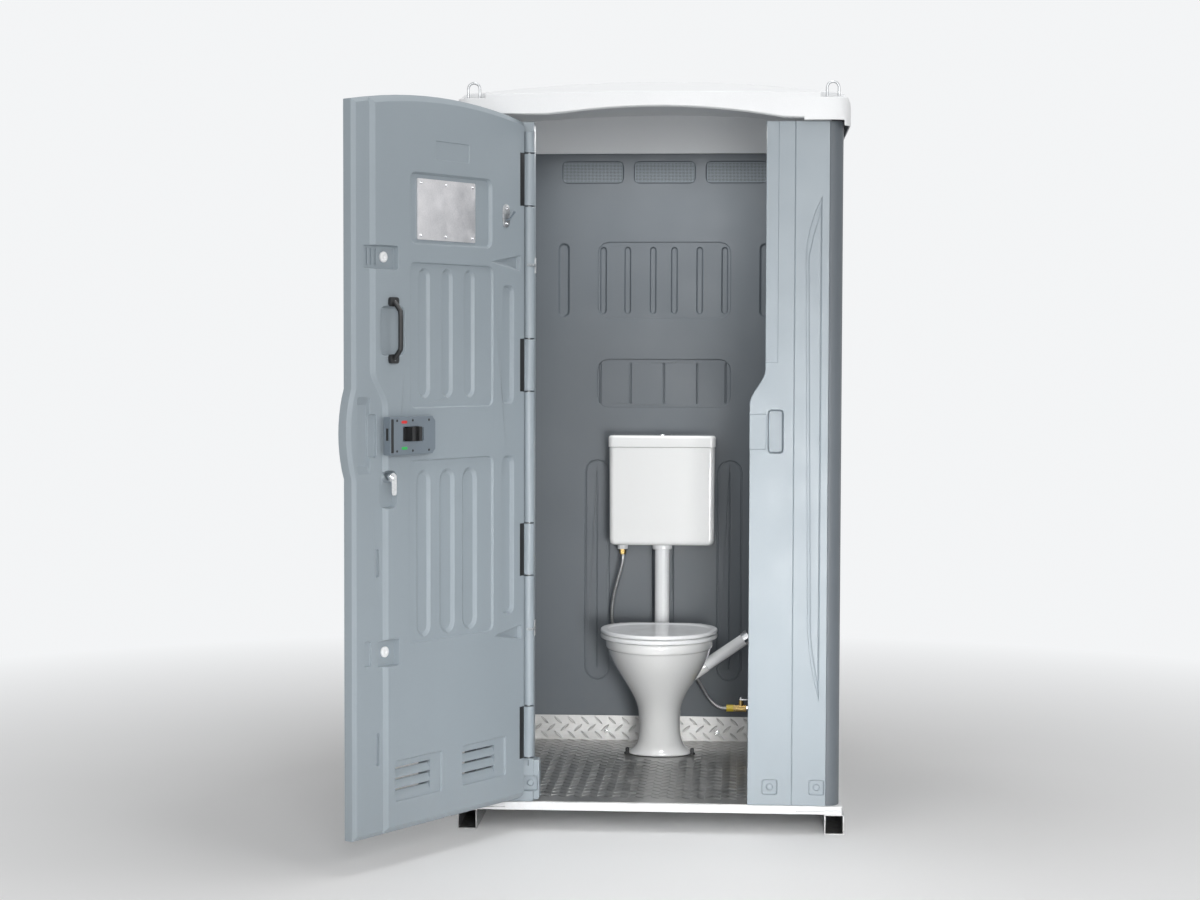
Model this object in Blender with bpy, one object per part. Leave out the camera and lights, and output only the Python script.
"""Portable toilet: a moulded cabin on steel skids with a hinged door, and a pan and cistern inside.

Metres, +Z up, the front faces -Y. Heights are measured from the top of the tread floor, and the whole
model is set down at the end so that its origin is at the middle of its footprint, on the ground.
"""

import math

import bmesh
import bpy
from mathutils import Matrix, Vector

# Clearances
GAP = 0.0003  # between touching pieces
CUT = 0.02  # how far a cutter runs past the face that it opens
DOOR_CLEARANCE = 0.0085  # between the door's top and the roof's arch
FOOT_CLEARANCE = 0.009  # between the door's foot and the floor

# Cabin
CABIN_WIDTH = 1.14
WALL_THICKNESS = 0.041
WALL_HEIGHT = 2.05
WALL_SKIN = 0.003
WALL_FLUTE_DEPTH = 0.010
CABIN_INSIDE_DEPTH = 1.066
PANEL_DEPTH = 0.003
SLOT_DEPTH = 0.006
GROOVE_DEPTH = 0.003
POST_DEPTH = 0.055

# Base, floor and skids
BASE_SIDE_LIP = 0.009
BASE_HEIGHT = 0.0242
BASE_FRONT_LIP = 0.010
BASE_BACK_LIP = 0.018
BASE_SKIN = 0.006
BASE_RIB = 0.012
FLOOR_THICKNESS = 0.002
KICK_HEIGHT = 0.086
KICK_THICKNESS = 0.0015
SKID_WIDTH = 0.058
SKID_HEIGHT = 0.060
SKID_WALL = 0.003
SKID_INSET = 0.024

# Roof
ROOF_SIDE_OVERHANG = 0.020
ROOF_FRONT_OVERHANG = 0.030
ROOF_BACK_OVERHANG = 0.022
ROOF_LIP_DROP = 0.016
ROOF_EAVE = 0.070
ROOF_RISE = 0.105
ROOF_FRONT_RISE = 0.016
ROOF_BACK_RISE = 0.058
ROOF_SKIN = 0.005
ROOF_EDGE_RADIUS = 0.035
ROOF_CORNER_RADIUS = 0.050
EYE_WIRE = 0.008
EYE_WIDTH = 0.043
EYE_HEIGHT = 0.052
EYE_SEAT_DROP = 0.018
EYE_INSET = 0.036
EYE_SIDE_INSET = 0.0538

# Door
DOOR_WIDTH = 0.751
DOOR_THICKNESS = 0.050
DOOR_RIM_STEP = 0.010
DOOR_STEP_RUN = 0.0146
DOOR_TOP = 2.086
DOOR_ARCH_DROP = 0.037
DOOR_SKIN = 0.004
DOOR_PANEL_DEPTH = 0.006
DOOR_GROOVE_DEPTH = 0.008
DOOR_RECESS_DEPTH = 0.012
CAP_FLOOR = 0.0168
DOOR_NAME_DEPTH = 0.002
DOOR_FINGER_DEPTH = 0.013
DOOR_FINGER_END_SLOPE = 0.038
LOUVRE_GAP = 0.006
LOUVRE_BLADE = 0.018
LOUVRE_BLADE_DEPTH = 0.008
DOOR_OUTSIDE_PANEL_DEPTH = 0.003
DOOR_OPEN_ANGLE = 121.92
PULL_REACH = 0.0224
HINGE_X = -0.370
HINGE_Y = 0.005
HINGE_TO_EDGE = 0.023
KNUCKLE_RADIUS = 0.0175
KNUCKLE_CLEARANCE = 0.003
KNUCKLE_WEB = 0.012
ROD_RADIUS = 0.005
ROD_BORE_CLEARANCE = 0.0003
KNUCKLE_LENGTH = 0.154
KNUCKLE_END_GAP = 0.004
KNUCKLE_PITCH = 0.555
KNUCKLE_FIRST = 0.212

# Door fittings
MIRROR_THICKNESS = 0.003
HOOK_PLATE_THICKNESS = 0.002
HOOK_REACH = 0.034
HANDLE_BAR = 0.020
HANDLE_REACH = 0.038
LOCK_CASE_DEPTH = 0.026
LOCK_BOLT_THICKNESS = 0.008
LOCK_BOLT_HEIGHT = 0.034
LOCK_TRAVEL = 0.022
LOCK_GRIP_REACH = 0.014
CAM_SPINDLE_RADIUS = 0.009
CAM_THICKNESS = 0.004
CAM_LENGTH = 0.048
CAM_WIDTH = 0.020
CAP_RADIUS = 0.011
CAP_HEIGHT = 0.005

# Pan, seat and lid
PAN_RIM_HEIGHT = 0.411
PAN_LENGTH = 0.400
PAN_WIDTH = 0.364
PAN_FRONT = 0.487
PAN_WALL = 0.014
BOWL_DEPTH = 0.230
SEAT_THICKNESS = 0.018
SEAT_WIDTH = 0.392
SEAT_LENGTH = 0.396
SEAT_FRONT = 0.476
SEAT_RING = 0.062
LID_THICKNESS = 0.013
LID_DISH = 0.004
SEAT_AXIS_DROP = 0.004
SEAT_PIN_RADIUS = 0.0045

# Cistern
CISTERN_WIDTH = 0.370
CISTERN_FOOT_WIDTH = 0.360
CISTERN_DEPTH = 0.165
CISTERN_FOOT = 0.700
CISTERN_BODY_TOP = 1.0365
CISTERN_WALL = 0.008
CISTERN_FRONT_BULGE = 0.007
CISTERN_LID_HEIGHT = 0.0405
CISTERN_LID_OVERHANG = 0.003
CISTERN_CORNER = 0.018
BUTTON_RADIUS = 0.019
BUTTON_TRAVEL = 0.010
VALVE_LIFT = 0.025
FLOAT_TRAVEL = 0.060

# Pipes
FLUSH_PIPE_DIAMETER = 0.052
FLUSH_PIPE_BORE = 0.044
FLUSH_NUT_DIAMETER = 0.068
FLUSH_NUT_HEIGHT = 0.018
FLUSH_BEND_RADIUS = 0.050
SOIL_DIAMETER = 0.104
SOIL_WALL = 0.004
WASTE_DIAMETER = 0.041
WASTE_WALL = 0.0025
WASTE_RING = 0.052
WASTE_RING_LENGTH = 0.022
CHROME_TUBE = 0.022
HOSE_DIAMETER = 0.012
HOSE_NUT_DIAMETER = 0.024
SUPPLY_DIAMETER = 0.015

# Derived places
BASE_WIDTH = CABIN_WIDTH + 2 * BASE_SIDE_LIP
SKID_SPACING = BASE_WIDTH - 2 * SKID_INSET
ROOF_WIDTH = CABIN_WIDTH + 2 * ROOF_SIDE_OVERHANG
WALL_OUT = CABIN_WIDTH / 2
WALL_IN = WALL_OUT - WALL_THICKNESS
BACK_OUT = CABIN_INSIDE_DEPTH + WALL_THICKNESS
BASE_TOP = -FLOOR_THICKNESS - GAP
BASE_FOOT = BASE_TOP - BASE_HEIGHT
WALL_FOOT = BASE_TOP + GAP
SKID_TOP = BASE_FOOT - GAP
GROUND = SKID_TOP - SKID_HEIGHT
ROOF_SEAT = WALL_HEIGHT + GAP
ROOF_LIP = WALL_HEIGHT - ROOF_LIP_DROP
POST_LEFT_EDGE = -0.3545
POST_RIGHT_EDGE = 0.341
POST_RIGHT_LOW_EDGE = 0.294
STEP_TOP_SHARE = 0.639
STEP_FOOT_SHARE = 0.588
STEP_RIM_SHARE = 0.904
STEP_LOW_SHARE = 0.835
DOOR_MID_SHARE = 0.48
SWING_SHARE = 0.07
SEAT_AXIS_Y = 0.858

BLUE_GREY = (0.42, 0.48, 0.52)
DARK_GREY = (0.13, 0.15, 0.17)
WHITE = (0.85, 0.86, 0.87)
STEEL = (0.55, 0.56, 0.57)
BLACK = (0.02, 0.02, 0.022)
CERAMIC = (0.88, 0.88, 0.88)
BRASS = (0.66, 0.48, 0.18)
YELLOW = (0.80, 0.62, 0.05)
RUBBER = (0.05, 0.05, 0.05)

# Panels of the back wall, as shares of the cabin's half width and of the wall's height
VENT_CENTRE_SHARES = (-0.438, 0.0, 0.438)
VENT_HALF_SHARE = 0.1886
VENT_HEIGHT_SHARES = (0.9498, 0.9878)
LINE_SHARES = (0.9430, 0.9952)
UPPER_PANEL_SHARES = (-0.406, 0.406, 0.7215, 0.8512)
UPPER_SLOT_SHARES = (-0.3725, -0.2235, -0.0685, 0.0614, 0.2158, 0.3684)
UPPER_SLOT_HALF_SHARE = 0.0200
UPPER_SLOT_HEIGHT_SHARES = (0.7290, 0.8430)
LOWER_PANEL_SHARES = (-0.407, 0.407, 0.5700, 0.6527)
LOWER_LINE_SHARES = (-0.390, -0.2035, 0.0, 0.2035, 0.378)
LOWER_LINE_HALF_SHARE = 0.0060
LOWER_LINE_HEIGHT_SHARES = (0.5766, 0.6459)
SIDE_SLOT_SHARE = 0.614
SIDE_SLOT_HALF_SHARE = 0.035
SIDE_SLOT_HEIGHT_SHARES = (0.7239, 0.8493)
STADIUM_SHARE = 0.406
SIDE_WALL_MARK_SHARE = 0.55
STADIUM_HALF_SHARE = 0.0775
STADIUM_HEIGHT_SHARES = (0.1029, 0.4815)
MIDDLE_STADIUM_HALF_SHARE = 0.066
PANEL_RADIUS = 0.038
VENT_RADIUS = 0.018
MESH_THICKNESS = 0.0015

# Right post, heights as shares of the wall's height
CURVE_HEIGHT_SHARES = (STEP_FOOT_SHARE, STEP_TOP_SHARE)
POST_SKIN = 0.004
REBATE_DEPTH = 0.002
REBATE_WIDTH = 0.0365
FINE_GROOVE = 0.002
FINE_GROOVE_SHARE = 0.705
PAD_PROUD = 0.004
PAD_WIDTH = 0.050
PAD_HEIGHT_SHARES = (0.5229, 0.5741)
FINGER_POCKET_WIDTH = 0.0475
FINGER_POCKET_START = 0.0545
FINGER_POCKET_HEIGHT_SHARES = (0.5166, 0.5810)
FINGER_POCKET_DEPTH = 0.026
BLADE_TIP_SHARES = (0.887, 0.890)
BLADE_LEFT_TOP_SHARES = (0.704, 0.802)
BLADE_LEFT_FOOT_SHARES = (0.751, 0.273)
BLADE_FOOT_SHARES = (0.894, 0.155)
BLADE_RIGHT_SHARE = 0.903
BLADE_DEPTH = 0.004
BLADE_GROOVE = 0.009
CAP_RECESS = 0.047
CAP_RECESS_DEPTH = 0.008
CAP_RECESS_HEIGHT = 0.029
STRIKE_DEPTH = 0.030
STRIKE_HEIGHT_SHARES = (0.5390, 0.5620)
CAM_SLOT_HEIGHT_SHARES = (0.4650, 0.5070)

# Hinge column and check chains
FOOT_BLOCK_TOP = 0.128
FOOT_BLOCK_WIDTH = 0.055
FOOT_BLOCK_PROUD = 0.0175
COLUMN_TOP = 2.02
CHAIN_HEIGHT_SHARES = (0.2561, 0.7912)
CHAIN_WIRE = 0.0022
LINK_LENGTH = 0.0125
LINK_HEIGHT = 0.008
CHAIN_RADIUS = 0.0203
CHAIN_LINKS = 5
CHAIN_FIRST_ANGLE = 28
CHAIN_LAST_ANGLE = -97
BRACKET_HEIGHT = 0.047
BRACKET_THICKNESS = 0.003
BRACKET_DEPTH = 0.030
CHAIN_STANDOFF = 0.0075

# Seat of the lifting eyes
EYE_SEAT = WALL_HEIGHT + ROOF_EAVE - EYE_SEAT_DROP / 9

# Door, places along it as shares of its width from the hinge side, heights as shares of the wall's height
NAME_PLACE_SHARES = (0.348, 0.551, 0.9298, 0.9556)
MIRROR_RECESS_SHARES = (0.205, 0.6964, 0.8117, 0.9107)
MIRROR_SHARES = (0.301, 0.647, 0.8185, 0.9024)
UPPER_CAP_SHARES = (0.7656, 0.9481, 0.7749, 0.8073)
UPPER_CAP_PLACE_SHARES = (0.8296, 0.7917)
LOWER_CAP_SHARES = (0.763, 0.8722, 0.2346, 0.2720)
LOWER_CAP_PLACE_SHARES = (0.8256, 0.2551)
LOWER_MARK_SHARES = (0.9028, 0.9467, 0.2378, 0.2737)
HANDLE_RECESS_SHARES = (0.7265, 0.8676, 0.6580, 0.7259)
HANDLE_SHARES = (0.7750, 0.8242, 0.6478, 0.7376)
UPPER_RIBBED_SHARES = (0.1984, 0.6977, 0.5861, 0.7868)
UPPER_GROOVE_SHARES = ((0.3056, 0.3695), (0.4394, 0.5047), (0.5739, 0.6398))
UPPER_GROOVE_HEIGHT_SHARES = (0.5995, 0.7800)
LOWER_RIBBED_SHARES = (0.1971, 0.7057, 0.2610, 0.5146)
LOWER_GROOVE_SHARES = ((0.2903, 0.3808), (0.4274, 0.5173), (0.5712, 0.6525))
LOWER_GROOVE_HEIGHT_SHARES = (0.2680, 0.5005)
TALL_UPPER_SHARES = (0.0666, 0.1418, 0.5883, 0.7605)
TALL_LOWER_SHARES = (0.0652, 0.1438, 0.2820, 0.5132)
RIM_SLOT_SHARES = ((0.8589, 0.8802, 0.3571, 0.3971), (0.8589, 0.8802, 0.1005, 0.1468))
SMALL_RECESS_SHARES = (0.8735, 0.9174, 0.5205, 0.5800)
CAM_RECESS_SHARES = (0.7736, 0.8602, 0.4507, 0.5024)
CAM_PLACE_SHARES = (0.8149, 0.4925)
FINGER_SHARES = (0.9068, 0.9827, 0.4912, 0.6112)
PULL_HEIGHT_SHARES = (0.4927, 0.6141)
LOUVRE_SHARES = ((0.5126, 0.7863, 0.0465, 0.1036), (0.1166, 0.3908, 0.0460, 0.1036))
LOUVRE_SLOT_SHARES = (0.289, 0.550, 0.806)
LOUVRE_END_SHARE = 0.235
TRIANGLE_SHARES = ((0.2157, 0.7932, 0.0261, 0.7815, 0.8044), (0.1971, 0.2532, 0.0193, 0.2420, 0.2629))
LOCK_CASE_SHARES = (0.5939, 0.8509, 0.5239, 0.5756)
LOCK_GRIP_SHARES = (0.6924, 0.7497, 0.5420, 0.5618)
LOCK_SLOT_SHARES = (0.6605, 0.6871, 0.5415, 0.5605)
HOOK_PLATE_SHARES = (0.0905, 0.1491, 0.8434, 0.8771)
HOOK_PLACE_SHARES = (0.112, 0.868)
DOOR_CORNER_RADIUS = 0.022
DOOR_SMALL_RADIUS = 0.008

# Lock and staff lock
OUTSIDE_PANEL_SHARES = (
    (0.20, 0.70, 0.586, 0.787), (0.20, 0.70, 0.261, 0.5146), (0.20, 0.70, 0.8117, 0.9107),
)
LOCK_WINDOW_SHARE = 0.715
BOLT_PLACE = LOCK_CASE_DEPTH * 0.35
CAM_PLACE = CAM_THICKNESS * 3
BOLT_LENGTH = 0.125
INDICATOR_GAP = 0.004
OUTER_CASE_DEPTH = 0.012
OUTER_CASE_WALL = 0.003

# Pan, heights as shares of the rim's height: (height, half width, front, back) of each section
PAN_SECTION_SHARES = (
    (0.000, 0.258, 0.640, 0.960), (0.020, 0.262, 0.625, 0.962), (0.060, 0.235, 0.640, 0.950),
    (0.120, 0.196, 0.620, 0.930), (0.250, 0.190, 0.560, 0.910), (0.360, 0.193, 0.500, 0.900),
    (0.440, 0.212, 0.440, 0.900), (0.520, 0.252, 0.370, 0.905), (0.610, 0.310, 0.285, 0.925),
    (0.700, 0.372, 0.200, 0.950), (0.790, 0.430, 0.115, 0.975), (0.870, 0.466, 0.055, 0.990),
    (0.918, 0.478, 0.025, 0.998), (0.924, 0.497, 0.005, 1.000), (0.985, 0.500, 0.000, 1.000),
    (1.000, 0.494, 0.006, 0.996),
)
BOWL_SECTION_SHARES = (
    (1.00, 0.355, 0.110, 0.800), (0.90, 0.352, 0.112, 0.795), (0.70, 0.310, 0.160, 0.760),
    (0.45, 0.225, 0.270, 0.700), (0.20, 0.140, 0.400, 0.650), (0.00, 0.100, 0.460, 0.620),
)
EGG_SHARE = 0.58
RIM_SIDES = 24

# Soil outlet, flush inlet and waste
SOIL_SETBACK = 0.045
SOIL_Y = PAN_FRONT + PAN_LENGTH + SOIL_SETBACK
SOIL_HEIGHT_SHARE = 0.45
INLET_HEIGHT_SHARE = 0.80
WASTE_SLOPE = math.radians(34.5)
WASTE_LENGTH = 0.159

# Seat and lid
SEAT_CHAMFER = 0.004
SEAT_EAR_SHARE = 0.25
LID_EAR_SHARE = 0.33
SEAT_EAR_WIDTH = 0.022
POST_EAR_SHARE = 0.19

# Cistern fittings
FLUSH_Y = 0.975
INLET_X = -0.1375
INLET_Y = 0.990
INLET_TAIL_RADIUS = 0.007
INLET_NUT_RADIUS = 0.0175
VALVE_MARGIN = 0.012
VALVE_WALL = 0.002
FILL_COLUMN_RADIUS = 0.011
FLOAT_RADIUS = 0.026
FLOAT_HEIGHT = 0.060
FILL_TOP_SHARE = 0.90
NUT_HEIGHT = 0.034

# The hose's own route, chosen by hand, from the cistern's tail down behind the pan to the stop valve
HOSE_ROUTE = (
    (-0.1375, 0.990, 0.6613), (-0.1380, 0.990, 0.6400), (-0.1430, 0.992, 0.6150), (-0.1530, 0.996, 0.5800),
    (-0.1640, 1.000, 0.5400), (-0.1720, 1.006, 0.5000), (-0.1760, 1.012, 0.4600), (-0.1740, 1.018, 0.4200),
    (-0.1640, 1.024, 0.3850), (-0.1440, 1.028, 0.3530), (-0.1150, 1.031, 0.3280), (-0.0800, 1.033, 0.3100),
    (-0.0400, 1.034, 0.2980), (0.0000, 1.033, 0.2900), (0.0400, 1.029, 0.2810), (0.0750, 1.020, 0.2670),
    (0.1020, 1.007, 0.2480), (0.1230, 0.992, 0.2270), (0.1400, 0.978, 0.2020), (0.1560, 0.966, 0.1780),
    (0.1740, 0.957, 0.1570), (0.1920, 0.952, 0.1430), (0.2080, 0.950, 0.1368), (0.2160, 0.950, 0.1360),
    (0.2240, 0.950, 0.1360),
)

# Stop valve
VALVE_RADIUS = 0.012
VALVE_BODY_LENGTH = 0.044
LEVER_LENGTH = 0.042
LEVER_THICKNESS = 0.004


def clear_scene():
    for item in list(bpy.data.objects):
        bpy.data.objects.remove(item, do_unlink=True)


def material(name, colour, roughness=0.45, metallic=0.0):
    made = bpy.data.materials.new(name)
    made.use_nodes = True
    shader = made.node_tree.nodes["Principled BSDF"]
    shader.inputs["Base Color"].default_value = (*colour, 1)
    shader.inputs["Roughness"].default_value = roughness
    shader.inputs["Metallic"].default_value = metallic
    made.diffuse_color = (*colour, 1)
    return made


def new_object(name, bm):
    bmesh.ops.remove_doubles(bm, verts=bm.verts, dist=GAP / 30)
    bmesh.ops.connect_verts_nonplanar(bm, faces=bm.faces, angle_limit=math.radians(0.01))
    bmesh.ops.recalc_face_normals(bm, faces=bm.faces)
    mesh = bpy.data.meshes.new(name)
    bm.to_mesh(mesh)
    bm.free()
    made = bpy.data.objects.new(name, mesh)
    bpy.context.collection.objects.link(made)
    return made


def loft(name, rings):
    """A closed solid through rings of as many points each, with a cap at both ends."""
    bm = bmesh.new()
    loops = [[bm.verts.new(point) for point in ring] for ring in rings]
    count = len(loops[0])
    for below, above in zip(loops, loops[1:]):
        for i in range(count):
            j = (i + 1) % count
            bm.faces.new((below[i], below[j], above[j], above[i]))
    bm.faces.new(list(reversed(loops[0])))
    bm.faces.new(loops[-1])
    return new_object(name, bm)


def turned(name, profile, centre, sides=24, axis="Z"):
    """A turned solid: the profile lists (radius, place along the axis), its ends closed on the axis."""
    bm = bmesh.new()
    loops = []
    for radius, along in profile:
        if radius == 0:
            loops.append([bm.verts.new((0, 0, along))])
            continue
        angles = [math.tau * i / sides for i in range(sides)]
        loops.append([bm.verts.new((radius * math.cos(a), radius * math.sin(a), along)) for a in angles])
    pairs = list(zip(loops, loops[1:]))
    if profile[0][0] and profile[-1][0]:
        pairs.append((loops[-1], loops[0]))
    for below, above in pairs:
        for i in range(sides):
            j = (i + 1) % sides
            corners = [below[i % len(below)], below[j % len(below)],
                       above[j % len(above)], above[i % len(above)]]
            bm.faces.new(list(dict.fromkeys(corners)))
    turns = {"X": Matrix.Rotation(math.pi / 2, 4, "Y"), "Y": Matrix.Rotation(-math.pi / 2, 4, "X")}
    bmesh.ops.transform(bm, matrix=turns.get(axis, Matrix()), verts=bm.verts)
    bmesh.ops.translate(bm, vec=Vector(centre), verts=bm.verts)
    return new_object(name, bm)


def rod(name, start, end, radius, sides=16, bore=0):
    """A round bar, or a pipe when it has a bore, between two points."""
    start, end = Vector(start), Vector(end)
    length = (end - start).length
    profile = [(radius, 0), (radius, length)]
    profile = [(bore, 0), *profile, (bore, length)] if bore else [(0, 0), *profile, (0, length)]
    made = turned(name, profile, (0, 0, 0), sides)
    turn = Vector((0, 0, 1)).rotation_difference(end - start).to_matrix().to_4x4()
    made.data.transform(Matrix.Translation(start) @ turn)
    return made


def frames_along(points):
    """Two cross directions at each point of a path, carried along it without twist."""
    points = [Vector(point) for point in points]
    across = None
    made = []
    for i in range(len(points)):
        ahead = (points[min(i + 1, len(points) - 1)] - points[max(i - 1, 0)]).normalized()
        if across is None:
            across = ahead.orthogonal()
        across = (across - ahead * across.dot(ahead)).normalized()
        made.append((points[i], across, ahead.cross(across)))
    return made


def pipe(name, points, radius, sides=12, bore=0):
    """A round pipe along a path, hollow when it has a bore."""
    rings = {}
    for size in (radius, bore):
        rings[size] = [
            [at + size * (math.cos(math.tau * i / sides) * one + math.sin(math.tau * i / sides) * two)
             for i in range(sides)]
            for at, one, two in frames_along(points)
        ]
    if not bore:
        return loft(name, rings[radius])
    bm = bmesh.new()
    loops = [[bm.verts.new(p) for p in ring] for ring in rings[radius] + rings[bore][::-1]]
    for below, above in zip(loops, loops[1:] + loops[:1]):
        for i in range(sides):
            j = (i + 1) % sides
            bm.faces.new((below[i], below[j], above[j], above[i]))
    return new_object(name, bm)


def box(name, low, high):
    x0, y0, z0 = low
    x1, y1, z1 = high
    square = [(x0, y0), (x1, y0), (x1, y1), (x0, y1)]
    return loft(name, [[(x, y, z0) for x, y in square], [(x, y, z1) for x, y in square]])


def prism(name, outline, start, end, axis="Y", far_outline=None):
    """An outline drawn on the plane square to the axis, pulled from start to end along it."""
    place = {
        "X": lambda a, b, along: (along, a, b),
        "Y": lambda a, b, along: (a, along, b),
        "Z": lambda a, b, along: (a, b, along),
    }[axis]
    far_outline = far_outline or outline
    near = [place(a, b, start) for a, b in outline]
    far = [place(a, b, end) for a, b in far_outline]
    return loft(name, [near, far])


def rounded(a0, a1, b0, b1, radius, steps=3):
    """The outline of a rectangle with round corners, from its four limits."""
    radius = min(radius, (a1 - a0) / 2 * 0.999, (b1 - b0) / 2 * 0.999)
    corners = [(a1 - radius, b0 + radius, -90), (a1 - radius, b1 - radius, 0),
               (a0 + radius, b1 - radius, 90), (a0 + radius, b0 + radius, 180)]
    points = []
    for a, b, first in corners:
        for i in range(steps + 1):
            angle = math.radians(first + 90 * i / steps)
            points.append((a + radius * math.cos(angle), b + radius * math.sin(angle)))
    return points


def shaped(target, tool, operation):
    """Cuts, joins or intersects target with tool, and uses the tool up."""
    step = target.modifiers.new("shape", "BOOLEAN")
    step.operation = operation
    step.object = tool
    step.solver = "EXACT"
    depsgraph = bpy.context.evaluated_depsgraph_get()
    mesh = bpy.data.meshes.new_from_object(target.evaluated_get(depsgraph))
    target.modifiers.clear()
    bm = bmesh.new()
    bm.from_mesh(mesh)
    bmesh.ops.remove_doubles(bm, verts=bm.verts, dist=GAP / 30)
    bmesh.ops.dissolve_degenerate(bm, edges=bm.edges, dist=GAP / 30)
    bm.to_mesh(mesh)
    bm.free()
    old = target.data
    mesh.name = target.name
    target.data = mesh
    bpy.data.meshes.remove(old)
    bpy.data.objects.remove(tool, do_unlink=True)
    return target


def cut(target, *tools):
    for tool in tools:
        shaped(target, tool, "DIFFERENCE")
    return target


def join(target, *tools):
    for tool in tools:
        shaped(target, tool, "UNION")
    return target


def together(*pieces):
    """Several separate cutters as one object, for a single cut."""
    bm = bmesh.new()
    for piece in pieces:
        bm.from_mesh(piece.data)
        bpy.data.objects.remove(piece, do_unlink=True)
    mesh = bpy.data.meshes.new("cutters")
    bm.to_mesh(mesh)
    bm.free()
    made = bpy.data.objects.new("cutters", mesh)
    bpy.context.collection.objects.link(made)
    return made


def pocket(outline_limits, depth, face, inward, radius, draft=0, steps=3, axis="Y"):
    """A cutter for a pocket with round corners and sloped sides, sunk from a face by its depth."""
    a0, a1, b0, b1 = outline_limits
    side, end = draft if isinstance(draft, tuple) else (draft, draft)
    mouth = rounded(a0, a1, b0, b1, radius, steps)
    small = max(radius - side, radius / 3)
    floor = rounded(a0 + side, a1 - side, b0 + end, b1 - end, small, steps)
    place = {
        "X": lambda a, b, v: (v, a, b),
        "Y": lambda a, b, v: (a, v, b),
        "Z": lambda a, b, v: (a, b, v),
    }[axis]
    levels = [(mouth, face - inward * CUT), (mouth, face), (floor, face + inward * depth)]
    return loft("pocket", [[place(a, b, v) for a, b in outline] for outline, v in levels])


def guard(limits, face, inward, depth, skin):
    """The block round a pocket that stays solid when a moulded piece is hollowed."""
    a0, a1, b0, b1 = limits
    ends = sorted((face - inward * CUT, face + inward * (depth + skin)))
    return box("guard", (a0 - skin, ends[0], b0 - skin), (a1 + skin, ends[1], b1 + skin))


def finish(made, parent, paint, origin=(0, 0, 0), smooth=True):
    """Gives a piece its material, its own origin and its parent."""
    made.data.transform(Matrix.Translation(-Vector(origin)))
    made.location = origin
    made.parent = parent
    made.data.materials.clear()
    made.data.materials.append(paint)
    if smooth:
        made.data.shade_smooth()
        made.data.set_sharp_from_angle(angle=math.radians(35))
    return made


def empty(name, location=(0, 0, 0), turn=0, parent=None):
    made = bpy.data.objects.new(name, None)
    bpy.context.collection.objects.link(made)
    made.location = location
    made.rotation_euler = (0, 0, math.radians(turn))
    made.parent = parent
    return made


def smooth_step(share):
    share = min(max(share, 0), 1)
    return share * share * (3 - 2 * share)


def skid(name, side, parent, paint):
    x = side * SKID_SPACING / 2
    half = SKID_WIDTH / 2
    ends = (-BASE_FRONT_LIP, BACK_OUT + BASE_BACK_LIP)
    made = box(name, (x - half, ends[0], GROUND), (x + half, ends[1], SKID_TOP))
    inside = half - SKID_WALL
    cut(made, box("bore", (x - inside, ends[0] - CUT, GROUND + SKID_WALL),
                  (x + inside, ends[1] + CUT, SKID_TOP - SKID_WALL)))
    return finish(made, parent, paint, (x, 0, GROUND), smooth=False)


def base_frame(parent, paint):
    """The moulded base: a shallow tray turned over, with ribs below and a gap line at both front ends."""
    half = BASE_WIDTH / 2
    front, back = -BASE_FRONT_LIP, BACK_OUT + BASE_BACK_LIP
    made = prism("base_frame", rounded(-half, half, front, back, BASE_FRONT_LIP), BASE_FOOT, BASE_TOP, "Z")
    columns, rows = 4, 4
    pitch_x = (BASE_WIDTH - BASE_RIB) / columns
    pitch_y = (back - front - BASE_RIB) / rows
    pockets = []
    for i in range(columns):
        for j in range(rows):
            x = -half + BASE_RIB + i * pitch_x
            y = front + BASE_RIB + j * pitch_y
            pockets.append(box("rib_space", (x, y, BASE_FOOT - CUT),
                               (x + pitch_x - BASE_RIB, y + pitch_y - BASE_RIB, BASE_TOP - BASE_SKIN)))
    cut(made, together(*pockets))
    line_share = 0.24
    line_top_share = 0.5
    line_foot_share = 0.32
    for side in (-1, 1):
        ends = sorted((side * (half - half * line_share), side * (half + CUT)))
        cut(made, box("gap_line", (ends[0], front - CUT, BASE_FOOT + BASE_HEIGHT * line_foot_share),
                      (ends[1], front + BASE_RIB / 2, BASE_FOOT + BASE_HEIGHT * line_top_share)))
    return finish(made, parent, paint, (0, 0, BASE_FOOT))


def floor_plate(parent, paint):
    edge = WALL_IN - GAP
    made = box("floor_plate", (-edge, POST_DEPTH + GAP, BASE_TOP + GAP), (edge, CABIN_INSIDE_DEPTH - GAP, 0))
    sill = box("sill", (POST_LEFT_EDGE + GAP, -BASE_FRONT_LIP / 2, BASE_TOP + GAP),
               (POST_RIGHT_LOW_EDGE - GAP, POST_DEPTH + FLOOR_THICKNESS, 0))
    join(made, sill)
    cut(made, rod("soil_hole", (0, SOIL_Y, BASE_TOP - CUT), (0, SOIL_Y, CUT),
                  SOIL_DIAMETER / 2 - SOIL_WALL, 20))
    return finish(made, parent, paint, (0, 0, BASE_TOP), smooth=False)


def kick_plates(parent, paint):
    """Bent tread sheet at the foot of the back wall and of both side walls."""
    top = KICK_HEIGHT
    back = CABIN_INSIDE_DEPTH - GAP
    edge = WALL_IN - GAP
    made = box("kick_plate_back", (-edge, back - KICK_THICKNESS, GAP), (edge, back, top))
    finish(made, parent, paint, (0, back, GAP), smooth=False)
    ends = (POST_DEPTH + GAP, back - KICK_THICKNESS - GAP)
    for name, side in (("kick_plate_left", -1), ("kick_plate_right", 1)):
        x = sorted((side * edge, side * (edge - KICK_THICKNESS)))
        made = box(name, (x[0], ends[0], GAP), (x[1], ends[1], top))
        finish(made, parent, paint, (side * edge, ends[0], GAP), smooth=False)


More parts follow.
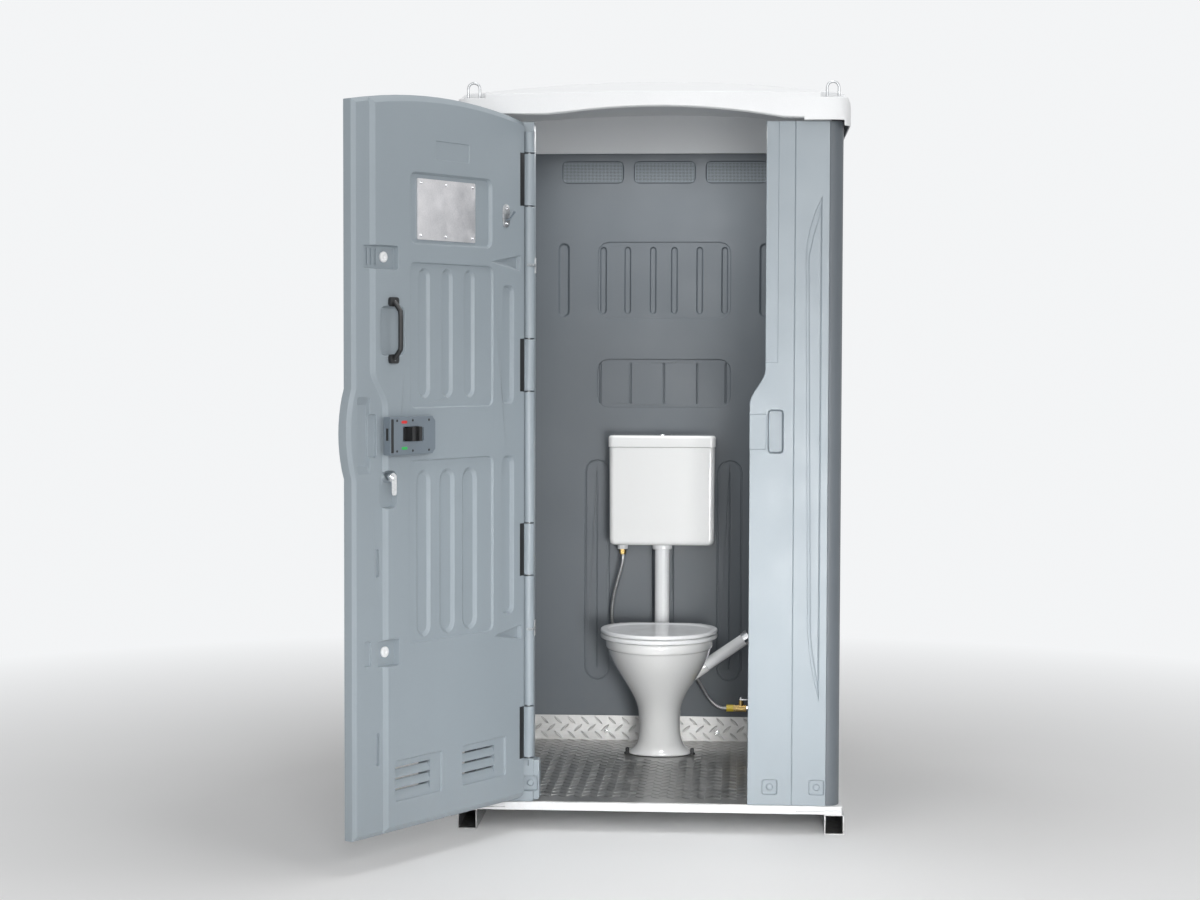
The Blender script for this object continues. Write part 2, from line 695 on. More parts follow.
def hollow_wall(made, width, troughs, marks, top):
    """Hollows a wall panel from its foot, with a skin of even thickness round its troughs and marks.

    The wall lies between local depth 0, its inside face, and its thickness.
    """
    half = width / 2 - WALL_SKIN
    space = box("space", (-half, WALL_SKIN, WALL_FOOT - CUT), (half, WALL_THICKNESS - WALL_SKIN, top))
    for limits in troughs:
        cut(space, guard(limits, WALL_THICKNESS, -1, WALL_FLUTE_DEPTH, WALL_SKIN))
    for limits, depth in marks:
        cut(space, guard(limits, 0, 1, depth, WALL_SKIN))
    return cut(made, space)


def wall_blank(name, width, ribs):
    """A wall panel with its inside face at local y = 0 and upright troughs in its back."""
    half = width / 2
    pitch = width / ribs
    made = box(name, (-half, 0, WALL_FOOT), (half, WALL_THICKNESS, WALL_HEIGHT))
    margin = WALL_HEIGHT * 0.03
    trough_half = pitch * 0.22
    troughs = []
    for i in range(ribs):
        middle = -half + (i + 0.5) * pitch
        troughs.append((middle - trough_half, middle + trough_half,
                        WALL_FOOT + margin, WALL_HEIGHT - margin))
    cut(made, together(*[pocket(limits, WALL_FLUTE_DEPTH, WALL_THICKNESS, -1, pitch * 0.2, WALL_FLUTE_DEPTH / 2)
                         for limits in troughs]))
    return made, troughs


def wall_place(shares):
    """Turns shares of the cabin's half width and of the wall's height into places on the back wall."""
    a0, a1, b0, b1 = shares
    return a0 * WALL_OUT, a1 * WALL_OUT, b0 * WALL_HEIGHT, b1 * WALL_HEIGHT


def row_places(centres, half, heights):
    return [wall_place((share - half, share + half, *heights)) for share in centres]


def wall_back(parent, paint):
    """The back wall: two panels with slots, three vents, side slots and long stadium grooves."""
    width = 2 * (WALL_IN - GAP)
    made, troughs = wall_blank("wall_back", width, 6)
    panels = [wall_place(UPPER_PANEL_SHARES), wall_place(LOWER_PANEL_SHARES)]
    slots = row_places(UPPER_SLOT_SHARES, UPPER_SLOT_HALF_SHARE, UPPER_SLOT_HEIGHT_SHARES)
    lines = row_places(LOWER_LINE_SHARES, LOWER_LINE_HALF_SHARE, LOWER_LINE_HEIGHT_SHARES)
    sides = row_places((-SIDE_SLOT_SHARE, SIDE_SLOT_SHARE), SIDE_SLOT_HALF_SHARE, SIDE_SLOT_HEIGHT_SHARES)
    vents = row_places(VENT_CENTRE_SHARES, VENT_HALF_SHARE, VENT_HEIGHT_SHARES)
    stadiums = row_places((-STADIUM_SHARE, STADIUM_SHARE), STADIUM_HALF_SHARE, STADIUM_HEIGHT_SHARES)
    stadiums += row_places((0,), MIDDLE_STADIUM_HALF_SHARE, STADIUM_HEIGHT_SHARES)
    marks = [(panels[0], PANEL_DEPTH + SLOT_DEPTH), (panels[1], PANEL_DEPTH + SLOT_DEPTH)]
    marks += [(limits, SLOT_DEPTH) for limits in sides]
    marks += [(limits, GROOVE_DEPTH) for limits in stadiums]
    hollow_wall(made, width, troughs, marks, LINE_SHARES[0] * WALL_HEIGHT)
    cut(made, together(*[pocket(limits, PANEL_DEPTH, 0, 1, PANEL_RADIUS, PANEL_DEPTH / 2)
                         for limits in panels]))
    cutters = []
    for limits in slots + lines:
        half = (limits[1] - limits[0]) / 2
        cutters.append(pocket(limits, SLOT_DEPTH, PANEL_DEPTH, 1, half, half / 3, 2))
    for limits in sides:
        half = (limits[1] - limits[0]) / 2
        cutters.append(pocket(limits, SLOT_DEPTH, 0, 1, half, half / 3, 4))
    for limits in vents:
        cutters.append(pocket(limits, SLOT_DEPTH, 0, 1, VENT_RADIUS, PANEL_DEPTH, 2))
    cut(made, together(*cutters))
    for limits in stadiums:
        stadium_groove(made, limits)
    cut(made, together(*[slat for limits in vents for slat in vent_slats(limits)]))
    made.data.transform(Matrix.Translation((0, CABIN_INSIDE_DEPTH, 0)))
    return finish(made, parent, paint, (0, CABIN_INSIDE_DEPTH, WALL_FOOT))


def vent_slats(limits):
    """Cutters for the level openings through the wall behind one vent mesh."""
    inset = SLOT_DEPTH * 2
    slats = 3
    pitch = (limits[3] - limits[2] - 2 * inset) / slats
    low = limits[2] + inset
    return [box("slat", (limits[0] + inset, -CUT, low + i * pitch),
                (limits[1] - inset, WALL_THICKNESS + CUT, low + (i + 0.55) * pitch)) for i in range(slats)]


def stadium_groove(made, limits):
    """A groove that runs round a long upright stadium, with one straight groove down its middle."""
    a0, a1, low, high = limits
    half = (a1 - a0) / 2
    width = GROOVE_DEPTH * 2
    outer = pocket(limits, GROOVE_DEPTH, 0, 1, half, GROOVE_DEPTH / 3, 3)
    core = prism("core", rounded(a0 + width, a1 - width, low + width, high - width, half - width, 3),
                 -CUT * 2, CUT * 2)
    cut(outer, core)
    cut(made, outer)
    middle = (a0 + a1) / 2
    line = pocket((middle - width / 3, middle + width / 3, low + half, high - half), GROOVE_DEPTH, 0, 1,
                  width / 3, 0, 1)
    return cut(made, line)


def vent_meshes(parent, paint):
    """A flat mesh plate in each of the three vent pockets, with rows of slots."""
    unit, high = WALL_OUT, WALL_HEIGHT
    inset = PANEL_DEPTH * 1.7
    floor = CABIN_INSIDE_DEPTH + SLOT_DEPTH - GAP
    for name, share in zip(("vent_mesh_left", "vent_mesh_middle", "vent_mesh_right"), VENT_CENTRE_SHARES):
        x0 = (share - VENT_HALF_SHARE) * unit + inset
        x1 = (share + VENT_HALF_SHARE) * unit - inset
        z0 = VENT_HEIGHT_SHARES[0] * high + inset
        z1 = VENT_HEIGHT_SHARES[1] * high - inset
        made = prism(name, rounded(x0, x1, z0, z1, VENT_RADIUS - inset), floor - MESH_THICKNESS, floor)
        rows, columns = 3, 7
        pitch_x = (x1 - x0) / (columns + 1)
        pitch_z = (z1 - z0) / (rows + 1)
        holes = []
        for i in range(columns):
            for j in range(rows):
                x = x0 + (i + 1) * pitch_x
                z = z0 + (j + 1) * pitch_z
                holes.append(prism("hole", [(x - pitch_x * 0.36, z), (x, z - pitch_z * 0.3),
                                            (x + pitch_x * 0.36, z), (x, z + pitch_z * 0.3)],
                                   floor - MESH_THICKNESS - CUT, floor + CUT))
        cut(made, together(*holes))
        finish(made, parent, paint, ((x0 + x1) / 2, floor, z0), smooth=False)


def wall_side(name, side, parent, paint):
    """A side wall: a panel with round front and back corners, grooves inside and upright troughs outside."""
    half = BACK_OUT / 2
    made, troughs = wall_blank(name, BACK_OUT, 5)
    steps = 6
    arc = [math.radians(90 * i / steps) for i in range(steps + 1)]
    front = [(-half + WALL_THICKNESS * (1 - math.cos(a)), WALL_THICKNESS * math.sin(a)) for a in arc]
    back = [(half - WALL_THICKNESS * (1 - math.cos(a)), WALL_THICKNESS * math.sin(a)) for a in reversed(arc)]
    plan = [(-half, -CUT / 2)] + front + back + [(half, -CUT / 2)]
    shaped(made, prism("plan", plan, WALL_FOOT - CUT / 2, WALL_HEIGHT + CUT / 2, "Z"), "INTERSECT")
    centres = (-SIDE_WALL_MARK_SHARE, 0, SIDE_WALL_MARK_SHARE)
    slots = row_places(centres, SIDE_SLOT_HALF_SHARE, SIDE_SLOT_HEIGHT_SHARES)
    stadiums = row_places(centres, STADIUM_HALF_SHARE, STADIUM_HEIGHT_SHARES)
    marks = [(limits, SLOT_DEPTH) for limits in slots] + [(limits, GROOVE_DEPTH) for limits in stadiums]
    hollow_wall(made, BACK_OUT - 2 * WALL_THICKNESS, troughs, marks, WALL_HEIGHT - WALL_SKIN)
    for limits in slots:
        slot_half = (limits[1] - limits[0]) / 2
        cut(made, pocket(limits, SLOT_DEPTH, 0, 1, slot_half, slot_half / 3))
    for limits in stadiums:
        stadium_groove(made, limits)
    made.data.transform(Matrix.Rotation(-side * math.pi / 2, 4, "Z"))
    made.data.transform(Matrix.Translation((side * WALL_IN, half, 0)))
    return finish(made, parent, paint, (side * WALL_IN, half, WALL_FOOT))


def right_post_edge(z):
    low, high = (share * WALL_HEIGHT for share in CURVE_HEIGHT_SHARES)
    share = smooth_step((z - low) / (high - low))
    return POST_RIGHT_LOW_EDGE + (POST_RIGHT_EDGE - POST_RIGHT_LOW_EDGE) * share


def step_heights(steps=8):
    low, high = (share * WALL_HEIGHT for share in CURVE_HEIGHT_SHARES)
    return [low + (high - low) * i / steps for i in range(steps + 1)]


def post_right(parent, paint):
    outer = WALL_IN - GAP
    edge = [(right_post_edge(z), z) for z in step_heights()]
    outline = [(outer, WALL_FOOT), (outer, WALL_HEIGHT), (POST_RIGHT_EDGE, WALL_HEIGHT)]
    outline += edge[::-1] + [(POST_RIGHT_LOW_EDGE, WALL_FOOT)]
    made = prism("post_right", outline, 0, POST_DEPTH)
    pad_low, pad_high = (share * WALL_HEIGHT for share in PAD_HEIGHT_SHARES)
    pad_end = POST_RIGHT_LOW_EDGE + PAD_WIDTH
    pad = prism("pad", rounded(POST_RIGHT_LOW_EDGE, pad_end, pad_low, pad_high, PAD_PROUD),
                -PAD_PROUD, POST_SKIN)
    join(made, pad)
    inner_outline = [(outer - POST_SKIN, WALL_FOOT - CUT), (outer - POST_SKIN, WALL_HEIGHT - POST_SKIN),
                     (POST_RIGHT_EDGE + POST_SKIN, WALL_HEIGHT - POST_SKIN)]
    inner_outline += [(x + POST_SKIN, z) for x, z in edge[::-1]]
    inner_outline += [(POST_RIGHT_LOW_EDGE + POST_SKIN, WALL_FOOT - CUT)]
    space = prism("space", inner_outline, BLADE_DEPTH + POST_SKIN, POST_DEPTH - POST_SKIN)
    start = POST_RIGHT_LOW_EDGE + FINGER_POCKET_START
    finger = (start, start + FINGER_POCKET_WIDTH, FINGER_POCKET_HEIGHT_SHARES[0] * WALL_HEIGHT,
              FINGER_POCKET_HEIGHT_SHARES[1] * WALL_HEIGHT)
    recesses = [(x0, x0 + CAP_RECESS, CAP_RECESS_HEIGHT, CAP_RECESS_HEIGHT + CAP_RECESS)
                for x0 in (POST_RIGHT_EDGE - PAD_PROUD, outer - CAP_RECESS - POST_SKIN)]
    strikes = [(POST_RIGHT_LOW_EDGE, POST_RIGHT_LOW_EDGE + STRIKE_DEPTH, low * WALL_HEIGHT, high * WALL_HEIGHT)
               for low, high in (STRIKE_HEIGHT_SHARES, CAM_SLOT_HEIGHT_SHARES)]
    cut(space, guard(finger, 0, 1, FINGER_POCKET_DEPTH, POST_SKIN))
    for limits in recesses:
        cut(space, guard(limits, 0, 1, CAP_RECESS_DEPTH, POST_SKIN))
    for limits in strikes:
        cut(space, guard(limits, 0, 1, STRIKE_DEPTH, POST_SKIN))
    cut(made, space)
    rebate = box("rebate", (POST_RIGHT_LOW_EDGE - CUT, -CUT, WALL_HEIGHT * 0.65),
                 (POST_RIGHT_EDGE + REBATE_WIDTH, REBATE_DEPTH, WALL_HEIGHT + CUT))
    x = POST_RIGHT_LOW_EDGE + (outer - POST_RIGHT_LOW_EDGE) * (1 - FINE_GROOVE_SHARE) * 1.9
    line = box("line", (x, -CUT, WALL_FOOT - CUT), (x + FINE_GROOVE, FINE_GROOVE, WALL_HEIGHT + CUT))
    cut(made, rebate)
    cut(made, line)
    cut(made, blade_groove())
    cut(made, pocket(finger, FINGER_POCKET_DEPTH, 0, 1, FINGER_POCKET_WIDTH / 4, PAD_PROUD, 4))
    for limits in recesses:
        cut(made, pocket(limits, CAP_RECESS_DEPTH, 0, 1, CAP_RECESS_DEPTH, FINE_GROOVE))
        middle = ((limits[0] + limits[1]) / 2, (limits[2] + limits[3]) / 2)
        join(made, turned("cap", [(0, -CAP_HEIGHT), (CAP_RADIUS * 0.7, -CAP_HEIGHT), (CAP_RADIUS, 0),
                                  (CAP_RADIUS, FINE_GROOVE), (0, FINE_GROOVE)],
                          (middle[0], CAP_RECESS_DEPTH, middle[1]), 12, "Y"))
    for limits, near, thick in zip(strikes, (BOLT_PLACE, CAM_PLACE), (LOCK_BOLT_THICKNESS, CAM_THICKNESS)):
        cut(made, box("strike", (POST_RIGHT_LOW_EDGE - CUT, HINGE_Y + near - FINE_GROOVE, limits[2]),
                      (limits[1], HINGE_Y + near + thick + FINE_GROOVE, limits[3])))
    return finish(made, parent, paint, (POST_RIGHT_EDGE, 0, WALL_FOOT))


def blade_outline(inset_left, inset_right, inset_end):
    """A long leaf: straight on its right, bowed on its left, with a tip near the top and the foot."""
    start = POST_RIGHT_LOW_EDGE
    width = WALL_IN - start

    def place(share_pair):
        return start + width * share_pair[0], WALL_HEIGHT * share_pair[1]

    tip, left_top = place(BLADE_TIP_SHARES), place(BLADE_LEFT_TOP_SHARES)
    left_foot, foot = place(BLADE_LEFT_FOOT_SHARES), place(BLADE_FOOT_SHARES)
    right = start + width * BLADE_RIGHT_SHARE - inset_right
    points = [(right, foot[1] + inset_end), (right, tip[1] - inset_end)]
    steps = 4
    for i in range(1, steps):
        share = i / steps
        points.append((tip[0] + (left_top[0] - tip[0]) * math.sin(share * math.pi / 2) + inset_left,
                       tip[1] - inset_end + (left_top[1] - tip[1]) * share))
    points += [(left_top[0] + inset_left, left_top[1]), (left_foot[0] + inset_left, left_foot[1])]
    for i in range(1, steps):
        share = i / steps
        bow = 1 - math.cos(share * math.pi / 2)
        points.append((left_foot[0] + (foot[0] - left_foot[0]) * bow + inset_left,
                       left_foot[1] + (foot[1] - left_foot[1]) * share))
    return points


def blade_groove():
    outer = prism("blade", blade_outline(0, 0, 0), -CUT, BLADE_DEPTH)
    inner = prism("blade_core", blade_outline(BLADE_GROOVE, BLADE_GROOVE / 3, BLADE_GROOVE * 3),
                  -CUT * 2, CUT)
    return cut(outer, inner)


def post_left(parent, paint):
    """The left post with the column of hinge knuckles on its front inner edge and a foot block."""
    outer = WALL_IN - GAP
    made = box("post_left", (-outer, 0, WALL_FOOT), (POST_LEFT_EDGE, POST_DEPTH, WALL_HEIGHT))
    column = rod("column", (HINGE_X, HINGE_Y, FOOT_BLOCK_TOP), (HINGE_X, HINGE_Y, COLUMN_TOP),
                 KNUCKLE_RADIUS, 14)
    join(made, column)
    cut(made, box("cavity", (-outer + POST_SKIN, POST_SKIN, WALL_FOOT - CUT),
                  (HINGE_X - KNUCKLE_RADIUS - POST_SKIN, POST_DEPTH - POST_SKIN, WALL_HEIGHT - POST_SKIN)))
    bore = rod("bore", (HINGE_X, HINGE_Y, FOOT_BLOCK_TOP - CUT), (HINGE_X, HINGE_Y, COLUMN_TOP - POST_SKIN),
               ROD_RADIUS + ROD_BORE_CLEARANCE, 12)
    notches = [rod("notch", (HINGE_X, HINGE_Y, z - KNUCKLE_LENGTH / 2 - KNUCKLE_END_GAP),
                   (HINGE_X, HINGE_Y, z + KNUCKLE_LENGTH / 2 + KNUCKLE_END_GAP),
                   KNUCKLE_RADIUS + KNUCKLE_CLEARANCE, 14) for z in knuckle_heights()]
    cut(made, *notches)
    cut(made, bore)
    block = prism("block", rounded(POST_LEFT_EDGE - FOOT_BLOCK_WIDTH / 2, POST_LEFT_EDGE + FOOT_BLOCK_PROUD,
                                   FINE_GROOVE, FOOT_BLOCK_TOP - KNUCKLE_END_GAP, CAP_RECESS_DEPTH),
                  HINGE_Y + FINE_GROOVE, POST_DEPTH - FINE_GROOVE)
    join(made, block)
    middle = POST_LEFT_EDGE + FOOT_BLOCK_PROUD - FOOT_BLOCK_WIDTH / 2
    half = FOOT_BLOCK_WIDTH / 2 - POST_SKIN
    recess = pocket((middle - half, middle + half, CAP_RECESS_HEIGHT, CAP_RECESS_HEIGHT + CAP_RECESS),
                    CAP_RECESS_DEPTH, HINGE_Y + FINE_GROOVE, 1, CAP_RECESS_DEPTH, FINE_GROOVE)
    cut(made, recess)
    join(made, turned("cap", [(0, -CAP_HEIGHT), (CAP_RADIUS * 0.7, -CAP_HEIGHT), (CAP_RADIUS, 0),
                              (CAP_RADIUS, FINE_GROOVE), (0, FINE_GROOVE)],
                      (middle, HINGE_Y + FINE_GROOVE + CAP_RECESS_DEPTH, CAP_RECESS_HEIGHT + CAP_RECESS / 2),
                      12, "Y"))
    return finish(made, parent, paint, (POST_LEFT_EDGE, 0, WALL_FOOT))


def knuckle_heights():
    return [KNUCKLE_FIRST + KNUCKLE_PITCH * i for i in range(4)]


def hinge_rod(parent, paint):
    low = FOOT_BLOCK_TOP + GAP
    high = COLUMN_TOP - POST_SKIN - GAP
    made = rod("hinge_rod", (HINGE_X, HINGE_Y, low), (HINGE_X, HINGE_Y, high), ROD_RADIUS, 12)
    return finish(made, parent, paint, (HINGE_X, HINGE_Y, low))


def chain_link(centre, along, across, out):
    """One stadium-shaped link of round wire around a centre, lying in the along-across plane."""
    points = []
    end = (LINK_LENGTH - LINK_HEIGHT) / 2
    radius = LINK_HEIGHT / 2 - CHAIN_WIRE / 2
    for side in (1, -1):
        for i in range(4):
            angle = math.radians(-90 + 60 * i) if side > 0 else math.radians(90 + 60 * i)
            points.append(centre + along * (side * end + radius * math.cos(angle))
                          + across * radius * math.sin(angle))
    bm = bmesh.new()
    sides = 5
    loops = []
    for i, point in enumerate(points):
        outward = (point - centre).normalized()
        ring = []
        for j in range(sides):
            angle = math.tau * j / sides
            turned_out = math.cos(angle) * outward + math.sin(angle) * out
            ring.append(bm.verts.new(point + CHAIN_WIRE / 2 * turned_out))
        loops.append(ring)
    for below, above in zip(loops, loops[1:] + loops[:1]):
        for i in range(sides):
            j = (i + 1) % sides
            bm.faces.new((below[i], below[j], above[j], above[i]))
    return new_object("link", bm)


def check_chain(name, height, parent, paint):
    """A short chain round the hinge column, from its bracket on the post towards the open door."""
    edge = POST_LEFT_EDGE + GAP
    front = HINGE_Y + CHAIN_STANDOFF
    made = box(name, (edge, front, height - BRACKET_HEIGHT / 2),
               (edge + BRACKET_THICKNESS, front + BRACKET_DEPTH, height + BRACKET_HEIGHT / 2))
    axis = Vector((HINGE_X, HINGE_Y, height))
    for i in range(CHAIN_LINKS):
        share = (i + 0.5) / CHAIN_LINKS
        angle = math.radians(CHAIN_FIRST_ANGLE + (CHAIN_LAST_ANGLE - CHAIN_FIRST_ANGLE) * share)
        out = Vector((math.cos(angle), math.sin(angle), 0))
        along = Vector((-out.y, out.x, 0))
        lift = Vector((0, 0, CHAIN_WIRE * 0.23 * (-1) ** i))
        join(made, chain_link(axis + lift + out * (CHAIN_RADIUS + CHAIN_WIRE * 0.11 * (-1) ** i), along,
                              Vector((0, 0, 1)), out))
    return finish(made, parent, paint, (edge, front, height))


def roof_rise(y):
    """How far the middle of the roof stands over the eave, from its front edge to its back edge."""
    front, back = -ROOF_FRONT_OVERHANG, BACK_OUT + ROOF_BACK_OVERHANG
    crown = front + (back - front) * 0.55
    if y < crown:
        return ROOF_RISE - (ROOF_RISE - ROOF_FRONT_RISE) * ((crown - y) / (crown - front)) ** 2
    return ROOF_RISE - (ROOF_RISE - ROOF_BACK_RISE) * ((y - crown) / (back - crown)) ** 2


def roof_section(y, inset, foot):
    """The outline of the roof across the cabin at one depth, moved in by inset all round."""
    half = ROOF_WIDTH / 2
    eave = WALL_HEIGHT + ROOF_EAVE
    side_share = 0.49
    points = [(-half + inset, foot), (-half + inset, eave - ROOF_EDGE_RADIUS)]
    across = 8
    edge = half - ROOF_EDGE_RADIUS
    for i in range(1, 4):
        angle = math.radians(22.5 * i)
        x = -edge - (ROOF_EDGE_RADIUS - inset) * math.cos(angle)
        rise = roof_rise(y) * (1 - side_share * (edge / half) ** 2)
        z = eave - ROOF_EDGE_RADIUS - inset * 0.3 + (ROOF_EDGE_RADIUS + rise - inset * 0.7) * math.sin(angle)
        points.append((x, z))
    for i in range(across + 1):
        x = -edge + 2 * edge * i / across
        z = eave + roof_rise(y) * (1 - side_share * (x / half) ** 2) - inset
        points.append((x, z))
    mirrored = [(-x, z) for x, z in reversed(points[:5])]
    return [(x, y, z) for x, z in points + mirrored]


def roof(parent, paint):
    front, back = -ROOF_FRONT_OVERHANG, BACK_OUT + ROOF_BACK_OVERHANG
    half = ROOF_WIDTH / 2
    steps = 8

    def dome(name, inset, foot):
        low, high = front + inset, back - inset
        stations = [low + (high - low) * i / steps for i in range(steps + 1)]
        return loft(name, [roof_section(y, inset, foot) for y in stations])

    def plan(name, inset, z0, z1):
        return prism(name, rounded(-half + inset, half - inset, front + inset, back - inset,
                                   ROOF_CORNER_RADIUS - inset, 4), z0, z1, "Z")

    top = WALL_HEIGHT + ROOF_EAVE + ROOF_RISE + CUT
    made = dome("roof", 0, ROOF_LIP)
    shaped(made, plan("plan", 0, ROOF_LIP - CUT, top), "INTERSECT")
    hollow = dome("hollow", ROOF_SKIN, ROOF_LIP - CUT)
    shaped(hollow, plan("plan", ROOF_SKIN, ROOF_LIP - 2 * CUT, top), "INTERSECT")
    skirt_out, skirt_in = WALL_IN + ROOF_SKIN, WALL_IN
    ring = box("ring", (-skirt_out, ROOF_SKIN, ROOF_SEAT), (skirt_out, CABIN_INSIDE_DEPTH + ROOF_SKIN, top))
    cut(ring, box("ring_bore", (-skirt_in, ROOF_SKIN * 2, ROOF_SEAT - CUT),
                  (skirt_in, CABIN_INSIDE_DEPTH, top + CUT)))
    cut(hollow, ring)
    eye_x, eye_front, eye_back = eye_places()
    reach = EYE_WIDTH
    for side in (-1, 1):
        for y0, y1 in ((front - CUT, eye_front + reach), (eye_back - reach, back + CUT)):
            ends = sorted((side * (eye_x - reach), side * (half + CUT)))
            cut(hollow, box("boss", (ends[0], y0, EYE_SEAT - ROOF_SKIN), (ends[1], y1, top + CUT)))
    cut(made, hollow)
    reach = EYE_WIDTH * 0.85
    for side in (-1, 1):
        for y0, y1 in ((front - CUT, eye_front + reach / 2), (eye_back - reach / 2, back + CUT)):
            ends = sorted((side * (eye_x - reach), side * (half + CUT)))
            cut(made, box("eye_seat", (ends[0], y0, EYE_SEAT), (ends[1], y1, top + CUT)))
    swing = DOOR_WIDTH * SWING_SHARE
    arch = [(x, door_arch(max(x - HINGE_X - HINGE_TO_EDGE, swing)) + DOOR_CLEARANCE)
            for x in header_places()]
    arch = [(x, max(z, ROOF_SEAT + DOOR_CLEARANCE)) for x, z in arch]
    opening = [(arch[0][0], ROOF_LIP - CUT)] + arch + [(arch[-1][0], ROOF_LIP - CUT)]
    cut(made, prism("opening", opening, front - CUT, ROOF_SKIN * 3))
    lip = WALL_OUT - GAP
    cut(made, box("front_lip", (-lip, front - CUT, ROOF_LIP - CUT), (lip, ROOF_SKIN * 3, ROOF_SEAT)))
    return finish(made, parent, paint, (0, 0, ROOF_SEAT))


def eye_places():
    """The eyes' distance from the middle, and their depths at the front and at the back."""
    side = ROOF_WIDTH / 2 - EYE_SIDE_INSET
    return side, -ROOF_FRONT_OVERHANG + EYE_INSET, BACK_OUT + ROOF_BACK_OVERHANG - EYE_INSET


def header_places(steps=16):
    low = HINGE_X - DOOR_THICKNESS * 2.4
    high = POST_RIGHT_EDGE + REBATE_WIDTH * 3
    return [low + (high - low) * i / steps for i in range(steps + 1)]


def lifting_eye(name, x, y, parent, paint):
    """A round steel bar bent to a U on a small foot plate."""
    foot = EYE_SEAT + GAP
    plate = EYE_WIRE / 2
    radius = EYE_WIDTH / 2 - EYE_WIRE / 2
    straight = EYE_HEIGHT - EYE_WIRE / 2 - radius
    points = [(x - radius, y, foot + plate / 2), (x - radius, y, foot + straight / 2)]
    steps = 6
    for i in range(steps + 1):
        angle = math.pi * (1 - i / steps)
        points.append((x + radius * math.cos(angle), y, foot + straight + radius * math.sin(angle)))
    points += [(x + radius, y, foot + straight / 2), (x + radius, y, foot + plate / 2)]
    reach = EYE_WIDTH * 0.7
    made = prism(name, rounded(x - reach, x + reach, y - EYE_WIRE, y + EYE_WIRE, EYE_WIRE / 2),
                 foot, foot + plate, "Z")
    join(made, pipe("bar", points, EYE_WIRE / 2, 6))
    return finish(made, parent, paint, (x, y, foot))


def on_door(shares):
    """Turns shares of the door's width and height into places from the hinge axis and from the floor."""
    a0, a1, b0, b1 = shares
    return (HINGE_TO_EDGE + a0 * DOOR_WIDTH, HINGE_TO_EDGE + a1 * DOOR_WIDTH,
            b0 * WALL_HEIGHT, b1 * WALL_HEIGHT)


def door_arch(along):
    """The height of the door's arched top at a place along it from its hinge-side edge."""
    middle = DOOR_MID_SHARE * DOOR_WIDTH
    return DOOR_TOP - DOOR_ARCH_DROP * ((along - middle) / (DOOR_WIDTH - middle)) ** 2


def door_top_points(start, stop, drop=0, steps=12):
    places = [start + (stop - start) * i / steps for i in range(steps + 1)]
    return [(HINGE_TO_EDGE + t, door_arch(t) - drop) for t in places]


def door_rim_outline(inset=0):
    """The door's outline seen from inside: square foot, arched top and the pull's bow on the free edge."""
    free = HINGE_TO_EDGE + DOOR_WIDTH - inset
    foot = FOOT_CLEARANCE + inset
    low, high = (share * WALL_HEIGHT for share in PULL_HEIGHT_SHARES)
    points = [(HINGE_TO_EDGE, foot), (free, foot), (free, low)]
    steps = 10
    for i in range(1, steps):
        share = i / steps
        points.append((free + PULL_REACH * math.sin(share * math.pi) ** 0.8, low + (high - low) * share))
    points.append((free, high))
    points += door_top_points(DOOR_WIDTH - inset, 0, inset)
    return points


def door_body_outline(inset=0):
    """The raised inner body of the door, which enters the opening and follows the post's S curve."""
    points = [(HINGE_TO_EDGE, FOOT_CLEARANCE + DOOR_RIM_STEP + inset)]
    low = HINGE_TO_EDGE + STEP_LOW_SHARE * DOOR_WIDTH - inset
    high = HINGE_TO_EDGE + STEP_RIM_SHARE * DOOR_WIDTH - inset
    points.append((low, FOOT_CLEARANCE + DOOR_RIM_STEP + inset))
    z0, z1 = (share * WALL_HEIGHT for share in CURVE_HEIGHT_SHARES)
    for z in step_heights():
        points.append((low + (high - low) * smooth_step((z - z0) / (z1 - z0)), z))
    points += door_top_points(high - HINGE_TO_EDGE, 0, DOOR_RIM_STEP + inset)
    return points


def door_blank():
    """The closed solid of the door before its recesses: rim, chamfered edges and the raised body."""
    face = -DOOR_RIM_STEP
    edge_run = DOOR_RIM_STEP * 1.2
    rim = loft("door_shell", [
        [(u, -DOOR_THICKNESS, z) for u, z in door_rim_outline(edge_run / 2)],
        [(u, -DOOR_THICKNESS + DOOR_SKIN, z) for u, z in door_rim_outline()],
        [(u, face - DOOR_RIM_STEP * 0.8, z) for u, z in door_rim_outline()],
        [(u, face, z) for u, z in door_rim_outline(edge_run)],
    ])
    body = loft("body", [
        [(u, face - DOOR_SKIN, z) for u, z in door_body_outline(-DOOR_STEP_RUN * 0.4)],
        [(u, face, z) for u, z in door_body_outline(-DOOR_STEP_RUN * 0.4)],
        [(u, 0, z) for u, z in door_body_outline(DOOR_STEP_RUN * 0.6)],
    ])
    join(rim, body)
    low, high = FOOT_CLEARANCE - CUT, DOOR_TOP + CUT
    thin = KNUCKLE_RADIUS + KNUCKLE_CLEARANCE * 1.5
    chamfer = [(HINGE_TO_EDGE - CUT, -DOOR_THICKNESS - CUT), (HINGE_TO_EDGE * 2, -DOOR_THICKNESS - CUT),
               (HINGE_TO_EDGE * 2, -DOOR_THICKNESS), (HINGE_TO_EDGE, -thin), (HINGE_TO_EDGE - CUT, -thin)]
    cut(rim, prism("chamfer", chamfer, low, high, "Z"))
    return rim


